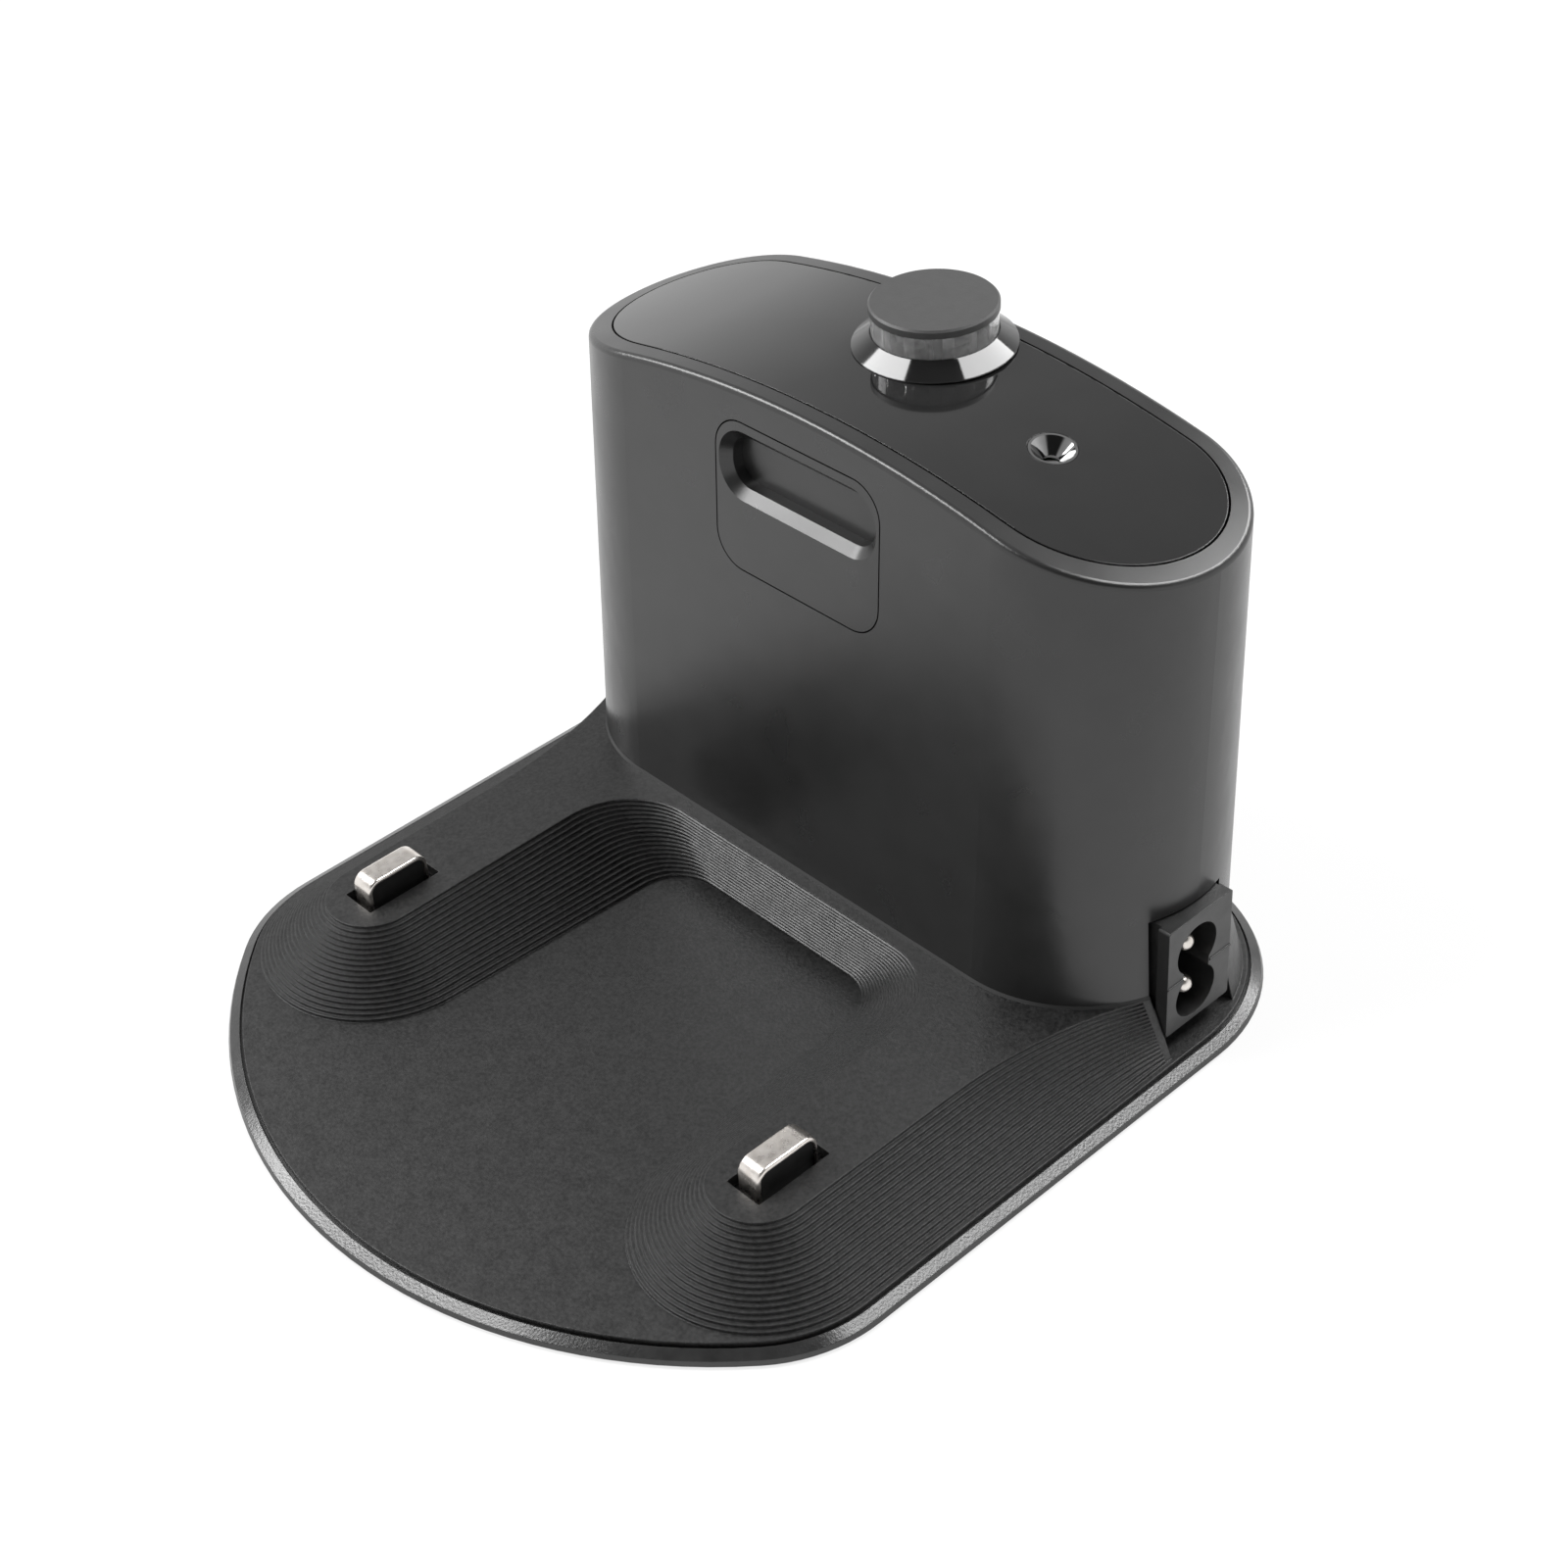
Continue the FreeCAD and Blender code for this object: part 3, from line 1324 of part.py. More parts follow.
def make_indicator():
    """Conical cup in the top panel with a light below it."""
    depth = "Sizes.indicator_depth"
    cup = turned(
        "indicator_cup",
        [
            ("Sizes.indicator_hole_radius", f"-{depth}"),
            ("Sizes.indicator_radius", f"-{depth}"),
            ("Sizes.indicator_radius", "0"),
            ("Sizes.indicator_radius - Sizes.indicator_rim", "0"),
            ("Sizes.indicator_hole_radius", f"-{depth} + Sizes.indicator_rim"),
        ],
    )
    frame = indicator_frame()
    cup.Placement = frame
    centre = frame.multVec(Vector(0, 0, -mm("indicator_depth") - mm("indicator_light_gap")))
    light = cylinder(
        "indicator_light", "Sizes.indicator_light_radius", f"{centre.z} - ({BEACON_BOARD_TOP})",
        x=f"{centre.x}", y=f"{centre.y}", z=BEACON_BOARD_TOP,
    )
    return [cup, light]


def make_main_board():
    """Upright board in the tower with a transformer and two capacitors on its front."""
    board = box(
        "main_board", f"2 * ({MAIN_BOARD_HALF})", "Sizes.board_thickness", "Sizes.main_board_height",
        x=f"-({MAIN_BOARD_HALF})", y=MAIN_BOARD_Y, z="Sizes.main_board_level",
    )
    transformer = box(
        "transformer", "Sizes.transformer_width", "Sizes.transformer_depth", "Sizes.transformer_height",
        x="Sizes.transformer_x - Sizes.transformer_width / 2",
        y=f"{MAIN_BOARD_Y} - Sizes.transformer_depth",
        z="Sizes.main_board_level + Sizes.main_board_height / 2 - Sizes.transformer_height / 2",
    )
    capacitors = [
        cylinder(
            f"capacitor_{name}", "Sizes.capacitor_radius", "Sizes.capacitor_length",
            x="Sizes.capacitor_x", y=MAIN_BOARD_Y,
            z=f"Sizes.capacitor_level + {index} * Sizes.capacitor_pitch",
            axis=Vector(1, 0, 0), angle=90,
        )
        for index, name in enumerate(("low", "high"))
    ]
    return [board, transformer, group("board_capacitors", capacitors)]


def make_feet():
    """Rubber pads under the base plate."""
    pads = []
    for end in ("front", "rear"):
        for name, sign in (("left", "-"), ("right", "+")):
            pads.append(
                cylinder(
                    f"foot_pad_{end}_{name}", "Sizes.foot_pad_radius", "Sizes.foot_pad_thickness",
                    x=f"{sign}({across('foot_pad_inset')})", y=along(f"foot_pad_from_{end}"),
                )
            )
    return group("rubber_feet", pads)


parts = [
    solid_feature("base_plate", make_base_plate()),
    solid_feature("deck", make_deck()),
    solid_feature("tower_shell", make_tower_shell()),
    solid_feature("top_panel", make_top_panel()),
    solid_feature("contact_leads", make_contact_leads()),
    solid_feature("inlet_leads", make_inlet_leads()),
    solid_feature("tower_screws", make_tower_screws()),
    solid_feature("base_screws", make_base_screws()),
    make_front_panel(),
    make_inlet_socket(),
    make_inlet_pins(),
    make_feet(),
]
parts += make_beam_pieces()
parts += make_beacon()
parts += make_indicator()
parts += make_main_board()
parts += make_contact("left", -1)
parts += make_contact("right", 1)
doc.recompute()

for item in doc.Objects:
    if "Invalid" in item.State or "Error" in item.State:
        raise RuntimeError(f"{item.Label} did not recompute")

os.makedirs("parts", exist_ok=True)
for part in parts:
    if part.Shape.isNull() or not part.Shape.isValid():
        raise RuntimeError(f"{part.Label} has no valid shape")
    part.Shape.exportStep(f"parts/{part.Label}.step")
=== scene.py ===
"""Looks of a charging dock for a floor-cleaning robot: finishes, fine pieces, stage, light and camera.

Lengths are in metres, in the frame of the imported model.
"""
import json
from math import cos, pi, radians, sin, tan

import bpy
from mathutils import Matrix, Vector


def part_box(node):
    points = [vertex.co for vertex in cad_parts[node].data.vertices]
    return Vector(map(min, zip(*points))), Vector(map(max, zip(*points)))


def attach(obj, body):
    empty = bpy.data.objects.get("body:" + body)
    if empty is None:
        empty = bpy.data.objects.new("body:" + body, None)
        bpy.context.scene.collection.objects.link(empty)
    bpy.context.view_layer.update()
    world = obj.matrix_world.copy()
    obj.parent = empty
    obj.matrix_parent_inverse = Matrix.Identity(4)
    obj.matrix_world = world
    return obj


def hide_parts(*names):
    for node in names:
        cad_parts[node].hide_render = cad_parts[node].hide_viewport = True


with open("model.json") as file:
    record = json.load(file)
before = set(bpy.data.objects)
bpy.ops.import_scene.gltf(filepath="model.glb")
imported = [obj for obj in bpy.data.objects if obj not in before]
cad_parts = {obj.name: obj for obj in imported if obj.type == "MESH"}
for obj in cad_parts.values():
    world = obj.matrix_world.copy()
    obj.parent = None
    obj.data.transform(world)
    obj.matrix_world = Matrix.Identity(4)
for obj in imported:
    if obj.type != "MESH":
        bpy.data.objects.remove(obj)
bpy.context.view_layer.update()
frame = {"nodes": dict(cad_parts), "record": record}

MM = 0.001

# Camera: place, axes and lens that match the photograph's view
CAMERA_PLACE = Vector((252.9, -197.7, 292.2)) * MM
CAMERA_RIGHT = Vector((0.68481, 0.72638, -0.05827))
CAMERA_UP = Vector((-0.41848, 0.45748, 0.78459))
CAMERA_BACK = Vector((0.59657, -0.51291, 0.61727))
CAMERA_LENS = 62.13
CAMERA_SENSOR = 36.0
CAMERA_NEAR = 0.01

# Studio: light from low to high over the horizon, as pairs of a height and a level
SKY = ((0.2, 1.1), (0.45, 0.6), (0.8, 0.38))
# Dark side above the camera: its middle, and the cosines of the angles between which it fades
DARK_SIDE = Vector((0.38, -0.33, 0.87))
DARK_EDGE = 0.70
DARK_CORE = 0.84
DARK_LEVEL = 0.05

# Floor: half of its side, its shade, and the share of plain white in what is seen of it
FLOOR_HALF = 3.0
FLOOR_SHADE = 0.9
FLOOR_WHITE_SHARE = 0.8

# Soft lights: the directions, seen from the dock, that each one runs from and to, and its radiance
LEFT_LIGHT = ((-0.84, -0.23, 0.49), (-0.20, -0.37, 0.91))
LEFT_RADIANCE = 12.5
RIGHT_LIGHT = ((0.30, 0.20, 0.93), (0.02, 0.89, 0.46))
RIGHT_RADIANCE = 10.5
LAMP_WIDTH = 0.30
LAMP_DISTANCE = 0.95
LAMP_TARGET = Vector((0, 0, 40 * MM))

# Middle of a noise, over which a texture runs from its one end to the other
NOISE_LOW = 0.3
NOISE_HIGH = 0.7

# Edges that turn by more than this stay sharp on the fine pieces
SHARP_ANGLE = radians(32)

# Contact strips: sheet thickness, bend radius and the roll of the long edges
STRIP_SHEET = 0.6 * MM
STRIP_BEND = 2.3 * MM
STRIP_ROLL = 0.5 * MM
BEND_STEPS = 10
ROLL_STEPS = 4

# Beacon lens: wall, and the flutes that cut into its inner face
LENS_WALL = 1.8 * MM
LENS_FLUTES = 14
FLUTE_DEPTH = 1.2 * MM
FLUTE_STEPS = 6

# Beacon collar: outer edge, height of the skirt against the lens and room between them, stem and bore
SKIRT_EDGE = 0.15 * MM
SKIRT_RISE = 2.3 * MM
SKIRT_GAP = 0.1 * MM
STEM_RADIUS = 6.5 * MM
BORE_RADIUS = 4.0 * MM
TURN_STEPS = 96

# Inlet pins: steps of the rounded end and round the pin
PIN_END_STEPS = 8
PIN_STEPS = 32

# Parting ridges across the face of the inlet, which end at the waist between its rounds
RIDGE_HALF = 0.2 * MM
RIDGE_PROUD = 0.2 * MM
RIDGE_STEPS = 8
WAIST_HALF = 3.1 * MM

# Back wall of the bay at its foot and its top: half of its length, its Y and the radius of its corners
WALL_FOOT = (15.75 * MM, 16.5 * MM, 8.5 * MM)
WALL_TOP = (24.3 * MM, 18.5 * MM, 13.6 * MM)
WALL_FOOT_Z = 2.6 * MM

# Rounded ribs on that wall, one on each step, that fade out round its corners
WALL_RIBS = 18
RIB_PROUD = 0.4 * MM
RIB_BURIED = 0.05 * MM
RIB_STEPS = 8
RIB_TURN = radians(55)
RIB_TURN_STEPS = 12

# Edges of the covers, rounded by this much where they turn by more than the angle
COVER_EDGE = 0.3 * MM
COVER_EDGE_SEGMENTS = 2
COVER_EDGE_ANGLE = radians(50)


def grey(level, warmth=0.0):
    """Colour of a grey level, a little warmer or cooler."""
    return (level * (1 + warmth), level, level * (1 - warmth), 1)


class Finish:
    """Procedural material around one principled shader, with its textures in object space."""

    def __init__(self, name):
        self.material = bpy.data.materials.new(name)
        self.material.use_nodes = True
        self.tree = self.material.node_tree
        self.shader = self.tree.nodes["Principled BSDF"]
        self.place = self.tree.nodes.new("ShaderNodeTexCoord")

    def set(self, **sockets):
        """Constant values on the shader's own sockets, with spaces in their names as underscores."""
        for name, value in sockets.items():
            self.shader.inputs[name.replace("_", " ")].default_value = value
        return self

    def noise(self, size, detail=2.0):
        """Noise whose features are about a size across."""
        texture = self.tree.nodes.new("ShaderNodeTexNoise")
        texture.inputs["Scale"].default_value = 1 / size
        texture.inputs["Detail"].default_value = detail
        self.tree.links.new(self.place.outputs["Object"], texture.inputs["Vector"])
        return texture.outputs["Fac"]

    def spread(self, source, low, high):
        """Number that runs from low to high over the middle of a noise."""
        ramp = self.tree.nodes.new("ShaderNodeMapRange")
        ramp.inputs["From Min"].default_value = NOISE_LOW
        ramp.inputs["From Max"].default_value = NOISE_HIGH
        ramp.inputs["To Min"].default_value = low
        ramp.inputs["To Max"].default_value = high
        self.tree.links.new(source, ramp.inputs["Value"])
        return ramp.outputs["Result"]

    def mottle(self, size, dark, light):
        """Base colour that wanders between two shades."""
        ramp = self.tree.nodes.new("ShaderNodeValToRGB")
        ramp.color_ramp.elements[0].position = NOISE_LOW
        ramp.color_ramp.elements[0].color = dark
        ramp.color_ramp.elements[1].position = NOISE_HIGH
        ramp.color_ramp.elements[1].color = light
        self.tree.links.new(self.noise(size), ramp.inputs["Fac"])
        self.tree.links.new(ramp.outputs["Color"], self.shader.inputs["Base Color"])
        return self

    def rough(self, size, low, high):
        """Roughness that wanders between two values."""
        self.tree.links.new(self.spread(self.noise(size), low, high), self.shader.inputs["Roughness"])
        return self

    def grain(self, size, height, edge=None):
        """Fine bumps, over edges that are eased by a radius where one is given."""
        bump = self.tree.nodes.new("ShaderNodeBump")
        bump.inputs["Distance"].default_value = height
        self.tree.links.new(self.noise(size), bump.inputs["Height"])
        if edge:
            eased = self.tree.nodes.new("ShaderNodeBevel")
            eased.inputs["Radius"].default_value = edge
            self.tree.links.new(eased.outputs["Normal"], bump.inputs["Normal"])
        self.tree.links.new(bump.outputs["Normal"], self.shader.inputs["Normal"])
        return self


def make_finishes():
    """Materials by the slot names of the record."""
    finishes = {
        "deck_grain": Finish("deck_grain")
        .mottle(0.6 * MM, grey(0.002), grey(0.020))
        .rough(3 * MM, 0.36, 0.44)
        .grain(0.5 * MM, 0.045 * MM, 0.3 * MM)
        .set(IOR=1.6),
        "tower_satin": Finish("tower_satin")
        .mottle(6 * MM, grey(0.012), grey(0.015))
        .rough(8 * MM, 0.27, 0.32)
        .grain(0.3 * MM, 0.001 * MM)
        .set(IOR=1.6),
        "base_black": Finish("base_black")
        .mottle(2 * MM, grey(0.020), grey(0.026))
        .rough(4 * MM, 0.17, 0.23)
        .grain(0.4 * MM, 0.02 * MM, 0.15 * MM)
        .set(IOR=1.6),
        "dark_chrome": Finish("dark_chrome")
        .mottle(3 * MM, grey(0.30), grey(0.36))
        .rough(4 * MM, 0.05, 0.09)
        .set(Metallic=1.0),
        "gloss_black": Finish("gloss_black")
        .mottle(9 * MM, grey(0.012), grey(0.014))
        .rough(12 * MM, 0.05, 0.08)
        .grain(6 * MM, 0.002 * MM, 0.2 * MM)
        .set(IOR=1.6),
        "cap_grey": Finish("cap_grey")
        .mottle(1.5 * MM, grey(0.042), grey(0.048))
        .rough(3 * MM, 0.42, 0.50)
        .grain(0.3 * MM, 0.012 * MM),
        "clear_lens": Finish("clear_lens")
        .mottle(1.2 * MM, grey(0.62), grey(0.98))
        .rough(5 * MM, 0.01, 0.03)
        .set(Transmission_Weight=0.78, IOR=1.58),
        "inlet_black": Finish("inlet_black")
        .mottle(2 * MM, grey(0.009), grey(0.012))
        .rough(3 * MM, 0.36, 0.46)
        .grain(0.35 * MM, 0.012 * MM, 0.2 * MM)
        .set(IOR=1.65),
        "nickel": Finish("nickel")
        .mottle(1.5 * MM, grey(0.66, 0.07), grey(0.80, 0.05))
        .rough(1.2 * MM, 0.24, 0.36)
        .grain(0.5 * MM, 0.006 * MM)
        .set(Metallic=1.0),
        "carrier_black": Finish("carrier_black")
        .mottle(2 * MM, grey(0.008), grey(0.012))
        .rough(3 * MM, 0.30, 0.40)
        .grain(0.4 * MM, 0.01 * MM, 0.1 * MM),
        "spring_brass": Finish("spring_brass")
        .mottle(2 * MM, (0.66, 0.50, 0.24, 1), (0.74, 0.58, 0.30, 1))
        .rough(2 * MM, 0.22, 0.34)
        .set(Metallic=1.0),
        "board_green": Finish("board_green")
        .mottle(4 * MM, (0.024, 0.14, 0.06, 1), (0.034, 0.18, 0.08, 1))
        .rough(3 * MM, 0.35, 0.45),
        "core_tape": Finish("core_tape")
        .mottle(5 * MM, (0.50, 0.38, 0.08, 1), (0.58, 0.45, 0.12, 1))
        .rough(3 * MM, 0.35, 0.5),
        "can_aluminium": Finish("can_aluminium")
        .mottle(3 * MM, grey(0.70), grey(0.78))
        .rough(2 * MM, 0.25, 0.35)
        .set(Metallic=1.0),
        "lead_sleeve": Finish("lead_sleeve")
        .mottle(3 * MM, (0.22, 0.025, 0.025, 1), (0.28, 0.035, 0.03, 1))
        .rough(3 * MM, 0.45, 0.55),
        "light_clear": Finish("light_clear")
        .mottle(2 * MM, grey(0.85), grey(0.92))
        .rough(2 * MM, 0.04, 0.08)
        .set(Transmission_Weight=0.6),
        "light_dark": Finish("light_dark")
        .mottle(2 * MM, (0.02, 0.02, 0.035, 1), (0.03, 0.03, 0.05, 1))
        .rough(2 * MM, 0.06, 0.1),
        "screw_steel": Finish("screw_steel")
        .mottle(1 * MM, grey(0.45), grey(0.55))
        .rough(1 * MM, 0.25, 0.4)
        .set(Metallic=1.0),
        "foot_rubber": Finish("foot_rubber")
        .mottle(2 * MM, grey(0.020), grey(0.028))
        .rough(2 * MM, 0.7, 0.8)
        .grain(0.5 * MM, 0.03 * MM),
    }
    return {slot: finish.material for slot, finish in finishes.items()}


def dress_nodes(finishes):
    """Give each CAD node the finish of its slot in the record."""
    for subpart in frame["record"]["subparts"]:
        node = frame["nodes"][subpart["node"]]
        node.data.materials.clear()
        node.data.materials.append(finishes[subpart["material_slot"]])


def smooth_piece(name, points, faces, material):
    """Mesh object that shades smoothly between its sharp edges."""
    mesh = bpy.data.meshes.new(name)
    mesh.from_pydata(points, [], faces)
    mesh.polygons.foreach_set("use_smooth", [True] * len(mesh.polygons))
    mesh.set_sharp_from_angle(angle=SHARP_ANGLE)
    mesh.materials.append(material)
    piece = bpy.data.objects.new(name, mesh)
    bpy.context.scene.collection.objects.link(piece)
    return piece


def ring_faces(rings, around, closed):
    """Quads between rings of points, joined end to end where the run of rings is closed."""
    faces = []
    for ring in range(rings if closed else rings - 1):
        start = ring * around
        onward = (ring + 1) % rings * around
        for index in range(around):
            after = (index + 1) % around
            faces.append((start + index, start + after, onward + after, onward + index))
    return faces


def strip_path(front, back, low, top):
    """Points and outward normals, as Y and Z, up the front of a bent strip, over it and down the back."""
    path = [((front, low), (-1, 0))]
    for centre_y, start in ((front + STRIP_BEND, pi), (back - STRIP_BEND, pi / 2)):
        for step in range(BEND_STEPS + 1):
            turn = start - pi / 2 * step / BEND_STEPS
            normal = (cos(turn), sin(turn))
            point = (centre_y + STRIP_BEND * normal[0], top - STRIP_BEND + STRIP_BEND * normal[1])
            path.append((point, normal))
    path.append(((back, low), (1, 0)))
    return path


def strip_section(half_width):
    """Section of a strip as X and depth below its outer face, with both long edges rolled over."""
    flat = half_width - STRIP_ROLL
    roll = []
    for step in range(ROLL_STEPS + 1):
        turn = pi / 2 * step / ROLL_STEPS
        roll.append((flat + STRIP_ROLL * sin(turn), STRIP_ROLL * (1 - cos(turn))))
    side = roll + [(half_width, STRIP_SHEET)]
    return [(-x, depth) for x, depth in reversed(side)] + side


def add_contact(side, finishes):
    """Bent contact strip with rolled long edges, in place of the plain one."""
    node = f"{side}_contact"
    low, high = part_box(node)
    middle_x = (low[0] + high[0]) / 2
    section = strip_section((high[0] - low[0]) / 2)
    points = []
    path = strip_path(low[1], high[1], low[2], high[2])
    for (y, z), (normal_y, normal_z) in path:
        for x, depth in section:
            points.append((middle_x + x, y - normal_y * depth, z - normal_z * depth))
    around = len(section)
    faces = ring_faces(len(path), around, False)
    faces.append(tuple(reversed(range(around))))
    faces.append(tuple(range(len(points) - around, len(points))))
    piece = smooth_piece(f"{side}_strip", points, faces, finishes["nickel"])
    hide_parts(node)
    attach(piece, f"{side}_contact_block")


def add_lens(finishes):
    """Clear ring of the beacon with upright flutes on its inner face."""
    low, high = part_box("beacon_lens")
    middle_x = (low[0] + high[0]) / 2
    middle_y = (low[1] + high[1]) / 2
    outer = (high[0] - low[0]) / 2
    inner = outer - LENS_WALL
    count = LENS_FLUTES * FLUTE_STEPS
    points = []
    for step in range(count):
        turn = -2 * pi * step / count
        flute = abs(2 * (step % FLUTE_STEPS) / FLUTE_STEPS - 1)
        bore = inner + FLUTE_DEPTH * (1 - flute)
        for radius, z in ((outer, low[2]), (outer, high[2]), (bore, high[2]), (bore, low[2])):
            points.append((middle_x + radius * cos(turn), middle_y + radius * sin(turn), z))
    piece = smooth_piece("fluted_lens", points, ring_faces(count, 4, True), finishes["clear_lens"])
    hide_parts("beacon_lens")
    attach(piece, "dock")


def turned(profile, steps):
    """Points and faces of a closed profile of radius and height, turned round an upright axis."""
    points = []
    for step in range(steps):
        turn = -2 * pi * step / steps
        for radius, height in profile:
            points.append((radius * cos(turn), radius * sin(turn), height))
    return points, ring_faces(steps, len(profile), True)


def add_collar(finishes):
    """Glossy collar of the beacon, with a sloping skirt round the foot of the lens."""
    low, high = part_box("beacon_collar")
    lens_low, lens_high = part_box("beacon_lens")
    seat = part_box("top_panel")[1][2]
    middle = Vector(((low[0] + high[0]) / 2, (low[1] + high[1]) / 2, 0))
    lens_side = (lens_high[0] - lens_low[0]) / 2 + SKIRT_GAP
    outer = (high[0] - low[0]) / 2
    profile = [
        (BORE_RADIUS, low[2]),
        (STEM_RADIUS, low[2]),
        (STEM_RADIUS, seat),
        (outer, seat),
        (outer, seat + SKIRT_EDGE),
        (lens_side, seat + SKIRT_RISE),
        (lens_side, high[2]),
        (BORE_RADIUS, high[2]),
    ]
    points, faces = turned(profile, TURN_STEPS)
    points = [Vector(point) + middle for point in points]
    piece = smooth_piece("skirted_collar", points, faces, finishes["gloss_black"])
    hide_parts("beacon_collar")
    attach(piece, "dock")


def add_pins(finishes):
    """Two inlet pins with rounded ends, along X."""
    low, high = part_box("inlet_pins")
    radius = (high[1] - low[1]) / 2
    middle_y = (low[1] + high[1]) / 2
    sections = [(low[0], radius)]
    for step in range(PIN_END_STEPS):
        turn = pi / 2 * step / PIN_END_STEPS
        sections.append((high[0] - radius + radius * sin(turn), radius * cos(turn)))
    points = []
    faces = []
    for middle_z in (low[2] + radius, high[2] - radius):
        first = len(points)
        for x, section_radius in sections:
            for step in range(PIN_STEPS):
                turn = 2 * pi * step / PIN_STEPS
                y = middle_y + section_radius * cos(turn)
                z = middle_z + section_radius * sin(turn)
                points.append((x, y, z))
        tip = len(points)
        points.append((high[0], middle_y, middle_z))
        for face in ring_faces(len(sections), PIN_STEPS, False):
            faces.append(tuple(first + index for index in face))
        for step in range(PIN_STEPS):
            faces.append((tip - PIN_STEPS + step, tip - PIN_STEPS + (step + 1) % PIN_STEPS, tip))
        faces.append(tuple(reversed(range(first, first + PIN_STEPS))))
    piece = smooth_piece("rounded_pins", points, faces, finishes["nickel"])
    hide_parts("inlet_pins")
    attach(piece, "dock")


def add_ridges(finishes):
    """Two thin ridges across the face of the inlet, from its sides to the waist between the pins."""
    low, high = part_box("inlet_socket")
    pins_low, pins_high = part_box("inlet_pins")
    middle_y = (pins_low[1] + pins_high[1]) / 2
    middle_z = (pins_low[2] + pins_high[2]) / 2
    section = []
    for step in range(RIDGE_STEPS + 1):
        turn = pi * step / RIDGE_STEPS
        section.append((high[0] + RIDGE_PROUD * sin(turn), middle_z + RIDGE_HALF * cos(turn)))
    around = len(section)
    points = []
    faces = []
    for start, end in ((low[1], middle_y - WAIST_HALF), (middle_y + WAIST_HALF, high[1])):
        first = len(points)
        for y in (start, end):
            points += [(x, y, z) for x, z in section]
        for face in ring_faces(2, around, False):
            faces.append(tuple(first + index for index in face))
        faces.append(tuple(reversed(range(first, first + around))))
        faces.append(tuple(range(first + around, first + 2 * around)))
    piece = smooth_piece("inlet_ridges", points, faces, finishes["inlet_black"])
    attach(piece, "dock")


def wall_path(share):
    """Points, directions into the bay and fades along the back wall, at a share of its height."""
    half, y, corner = (foot + (top - foot) * share for foot, top in zip(WALL_FOOT, WALL_TOP))
    right = []
    for step in range(RIB_TURN_STEPS + 1):
        turned_share = step / RIB_TURN_STEPS
        turn = pi / 2 - RIB_TURN * turned_share
        point = Vector((half + corner * cos(turn), y - corner + corner * sin(turn), 0))
        right.append((point, Vector((-cos(turn), -sin(turn), 0)), 1 - turned_share))
    left = []
    for point, inward, fade in right:
        left.append((Vector((-point.x, point.y, 0)), Vector((-inward.x, inward.y, 0)), fade))
    return right[::-1] + left


def add_wall_ribs(finishes):
    """Rounded ribs on the back wall of the bay."""
    rise = (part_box("deck")[1][2] - WALL_FOOT_Z) / WALL_RIBS
    section = [(-RIB_BURIED, 0)]
    for step in range(RIB_STEPS + 1):
        share = step / RIB_STEPS
        section.append((RIB_PROUD * sin(pi * share), rise * share))
    section.append((-RIB_BURIED, rise))
    around = len(section)
    points = []
    faces = []
    for rib in range(WALL_RIBS):
        first = len(points)
        path = wall_path(rib / (WALL_RIBS - 1))
        for point, inward, fade in path:
            for proud, height in section:
                reach = proud * fade if proud > 0 else proud
                points.append(point + inward * reach + Vector((0, 0, WALL_FOOT_Z + rise * rib + height)))
        for face in ring_faces(len(path), around, False):
            faces.append(tuple(first + index for index in face))
        faces.append(tuple(reversed(range(first, first + around))))
        faces.append(tuple(range(len(points) - around, len(points))))
    piece = smooth_piece("bay_wall_ribs", points, faces, finishes["deck_grain"])
    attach(piece, "dock")


def round_covers():
    """Round the edges of the top and front covers, where the light draws a thin line."""
    for name in ("top_panel", "front_panel"):
        edge = frame["nodes"][name].modifiers.new("edge", "BEVEL")
        edge.width = COVER_EDGE
        edge.segments = COVER_EDGE_SEGMENTS
        edge.limit_method = "ANGLE"
        edge.angle_limit = COVER_EDGE_ANGLE


def add_floor():
    """Pale floor that reads as white and keeps the dock's shadow."""
    corners = [(-FLOOR_HALF, -FLOOR_HALF, 0), (FLOOR_HALF, -FLOOR_HALF, 0)]
    corners += [(FLOOR_HALF, FLOOR_HALF, 0), (-FLOOR_HALF, FLOOR_HALF, 0)]
    mesh = bpy.data.meshes.new("floor")
    mesh.from_pydata(corners, [], [(0, 1, 2, 3)])
    floor = bpy.data.objects.new("floor", mesh)
    bpy.context.scene.collection.objects.link(floor)

    material = bpy.data.materials.new("floor_white")
    material.use_nodes = True
    tree = material.node_tree
    tree.nodes.clear()
    output = tree.nodes.new("ShaderNodeOutputMaterial")
    mix = tree.nodes.new("ShaderNodeMixShader")
    lit = tree.nodes.new("ShaderNodeBsdfDiffuse")
    lit.inputs["Color"].default_value = grey(FLOOR_SHADE)
    white = tree.nodes.new("ShaderNodeEmission")
    path = tree.nodes.new("ShaderNodeLightPath")
    seen = path.outputs["Is Camera Ray"]
    for ray in ("Is Glossy Ray", "Is Transmission Ray"):
        either = tree.nodes.new("ShaderNodeMath")
        either.operation = "MAXIMUM"
        tree.links.new(seen, either.inputs[0])
        tree.links.new(path.outputs[ray], either.inputs[1])
        seen = either.outputs["Value"]
    share = tree.nodes.new("ShaderNodeMath")
    share.operation = "MULTIPLY"
    share.inputs[1].default_value = FLOOR_WHITE_SHARE
    tree.links.new(seen, share.inputs[0])
    tree.links.new(share.outputs["Value"], mix.inputs["Fac"])
    tree.links.new(lit.outputs["BSDF"], mix.inputs[1])
    tree.links.new(white.outputs["Emission"], mix.inputs[2])
    tree.links.new(mix.outputs["Shader"], output.inputs["Surface"])
    mesh.materials.append(material)


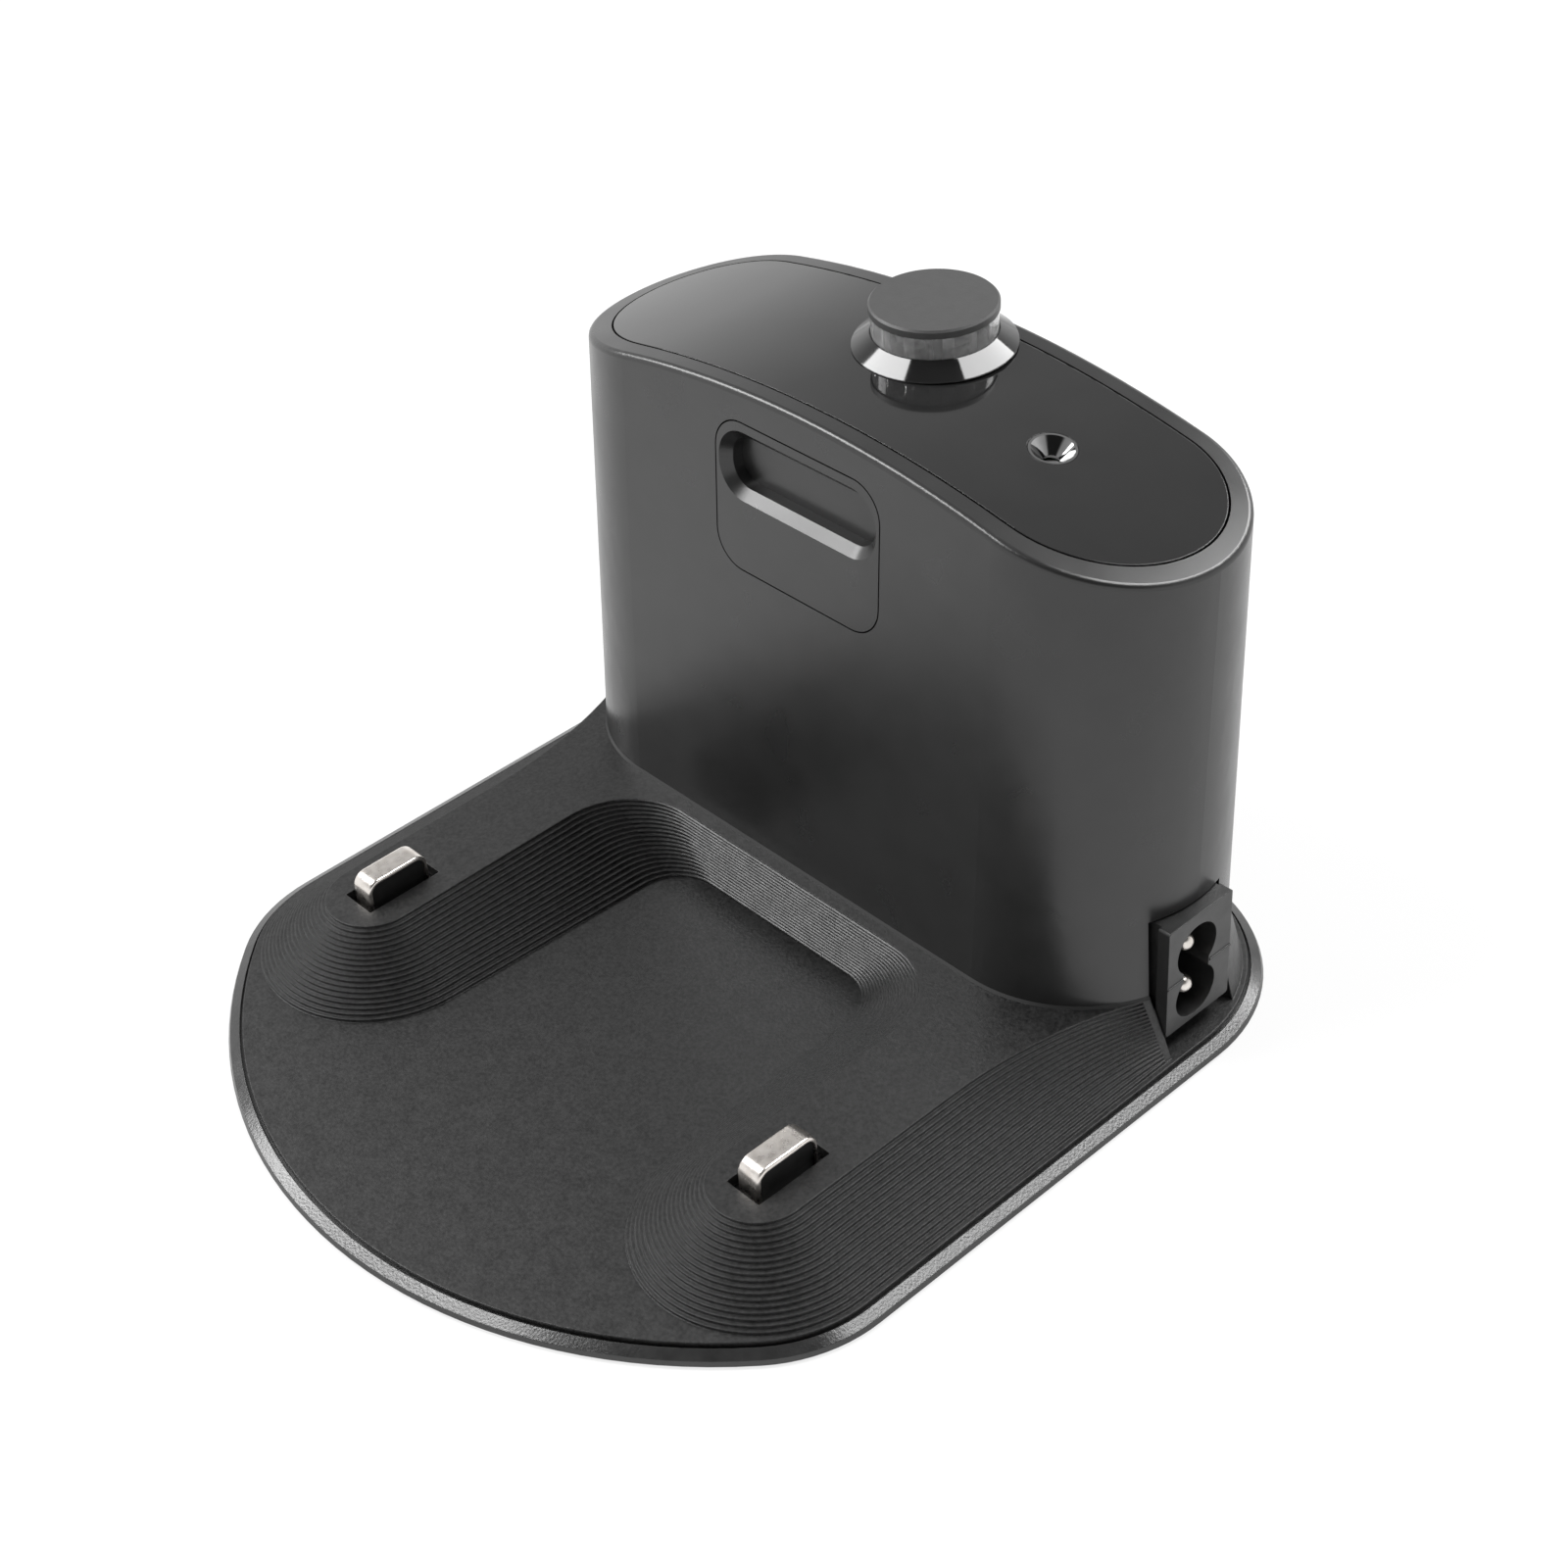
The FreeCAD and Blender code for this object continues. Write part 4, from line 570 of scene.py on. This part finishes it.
def add_world():
    """White surroundings that turn grey overhead and dark above the camera."""
    world = bpy.data.worlds.new("studio")
    bpy.context.scene.world = world
    world.use_nodes = True
    tree = world.node_tree
    background = tree.nodes["Background"]
    direction = tree.nodes.new("ShaderNodeTexCoord").outputs["Generated"]
    split = tree.nodes.new("ShaderNodeSeparateXYZ")
    ramp = tree.nodes.new("ShaderNodeValToRGB")
    stops = ramp.color_ramp.elements
    stops.new(0.5)
    for stop, (height, level) in zip(stops, SKY):
        stop.position = height
        stop.color = grey(level)
    tree.links.new(direction, split.inputs["Vector"])
    tree.links.new(split.outputs["Z"], ramp.inputs["Fac"])
    tree.links.new(ramp.outputs["Color"], background.inputs["Color"])
    cosine = tree.nodes.new("ShaderNodeVectorMath")
    cosine.operation = "DOT_PRODUCT"
    cosine.inputs[1].default_value = DARK_SIDE.normalized()
    tree.links.new(direction, cosine.inputs[0])
    fade = tree.nodes.new("ShaderNodeMapRange")
    fade.interpolation_type = "SMOOTHSTEP"
    fade.inputs["From Min"].default_value = DARK_EDGE
    fade.inputs["From Max"].default_value = DARK_CORE
    fade.inputs["To Min"].default_value = 1
    fade.inputs["To Max"].default_value = DARK_LEVEL
    tree.links.new(cosine.outputs["Value"], fade.inputs["Value"])
    tree.links.new(fade.outputs["Result"], background.inputs["Strength"])


def add_softbox(name, directions, radiance):
    """Long soft light that runs from one direction to another, seen from the dock, and faces it."""
    start, end = (Vector(direction).normalized() for direction in directions)
    away = (start + end).normalized()
    along = (end - start).normalized()
    light = bpy.data.lights.new(name, "AREA")
    light.shape = "RECTANGLE"
    light.size = 2 * LAMP_DISTANCE * tan(start.angle(end) / 2)
    light.size_y = LAMP_WIDTH
    light.energy = radiance * pi * light.size * light.size_y
    lamp = bpy.data.objects.new(name, light)
    turn = Matrix((along, away.cross(along), away)).transposed().to_4x4()
    lamp.matrix_world = Matrix.Translation(LAMP_TARGET + LAMP_DISTANCE * away) @ turn
    bpy.context.scene.collection.objects.link(lamp)


def add_camera():
    """Camera at the photograph's viewing angle."""
    data = bpy.data.cameras.new("camera")
    data.sensor_width = CAMERA_SENSOR
    data.lens = CAMERA_LENS
    data.clip_start = CAMERA_NEAR
    camera = bpy.data.objects.new("camera", data)
    turn = Matrix((CAMERA_RIGHT, CAMERA_UP, CAMERA_BACK)).transposed().to_4x4()
    camera.matrix_world = Matrix.Translation(CAMERA_PLACE) @ turn
    bpy.context.scene.collection.objects.link(camera)
    bpy.context.scene.camera = camera


finishes = make_finishes()
dress_nodes(finishes)
for side in ("left", "right"):
    add_contact(side, finishes)
add_lens(finishes)
add_collar(finishes)
add_pins(finishes)
add_ridges(finishes)
add_wall_ribs(finishes)
round_covers()
add_floor()
add_world()
add_softbox("left_light", LEFT_LIGHT, LEFT_RADIANCE)
add_softbox("right_light", RIGHT_LIGHT, RIGHT_RADIANCE)
add_camera()
bpy.context.scene.view_settings.view_transform = "Standard"
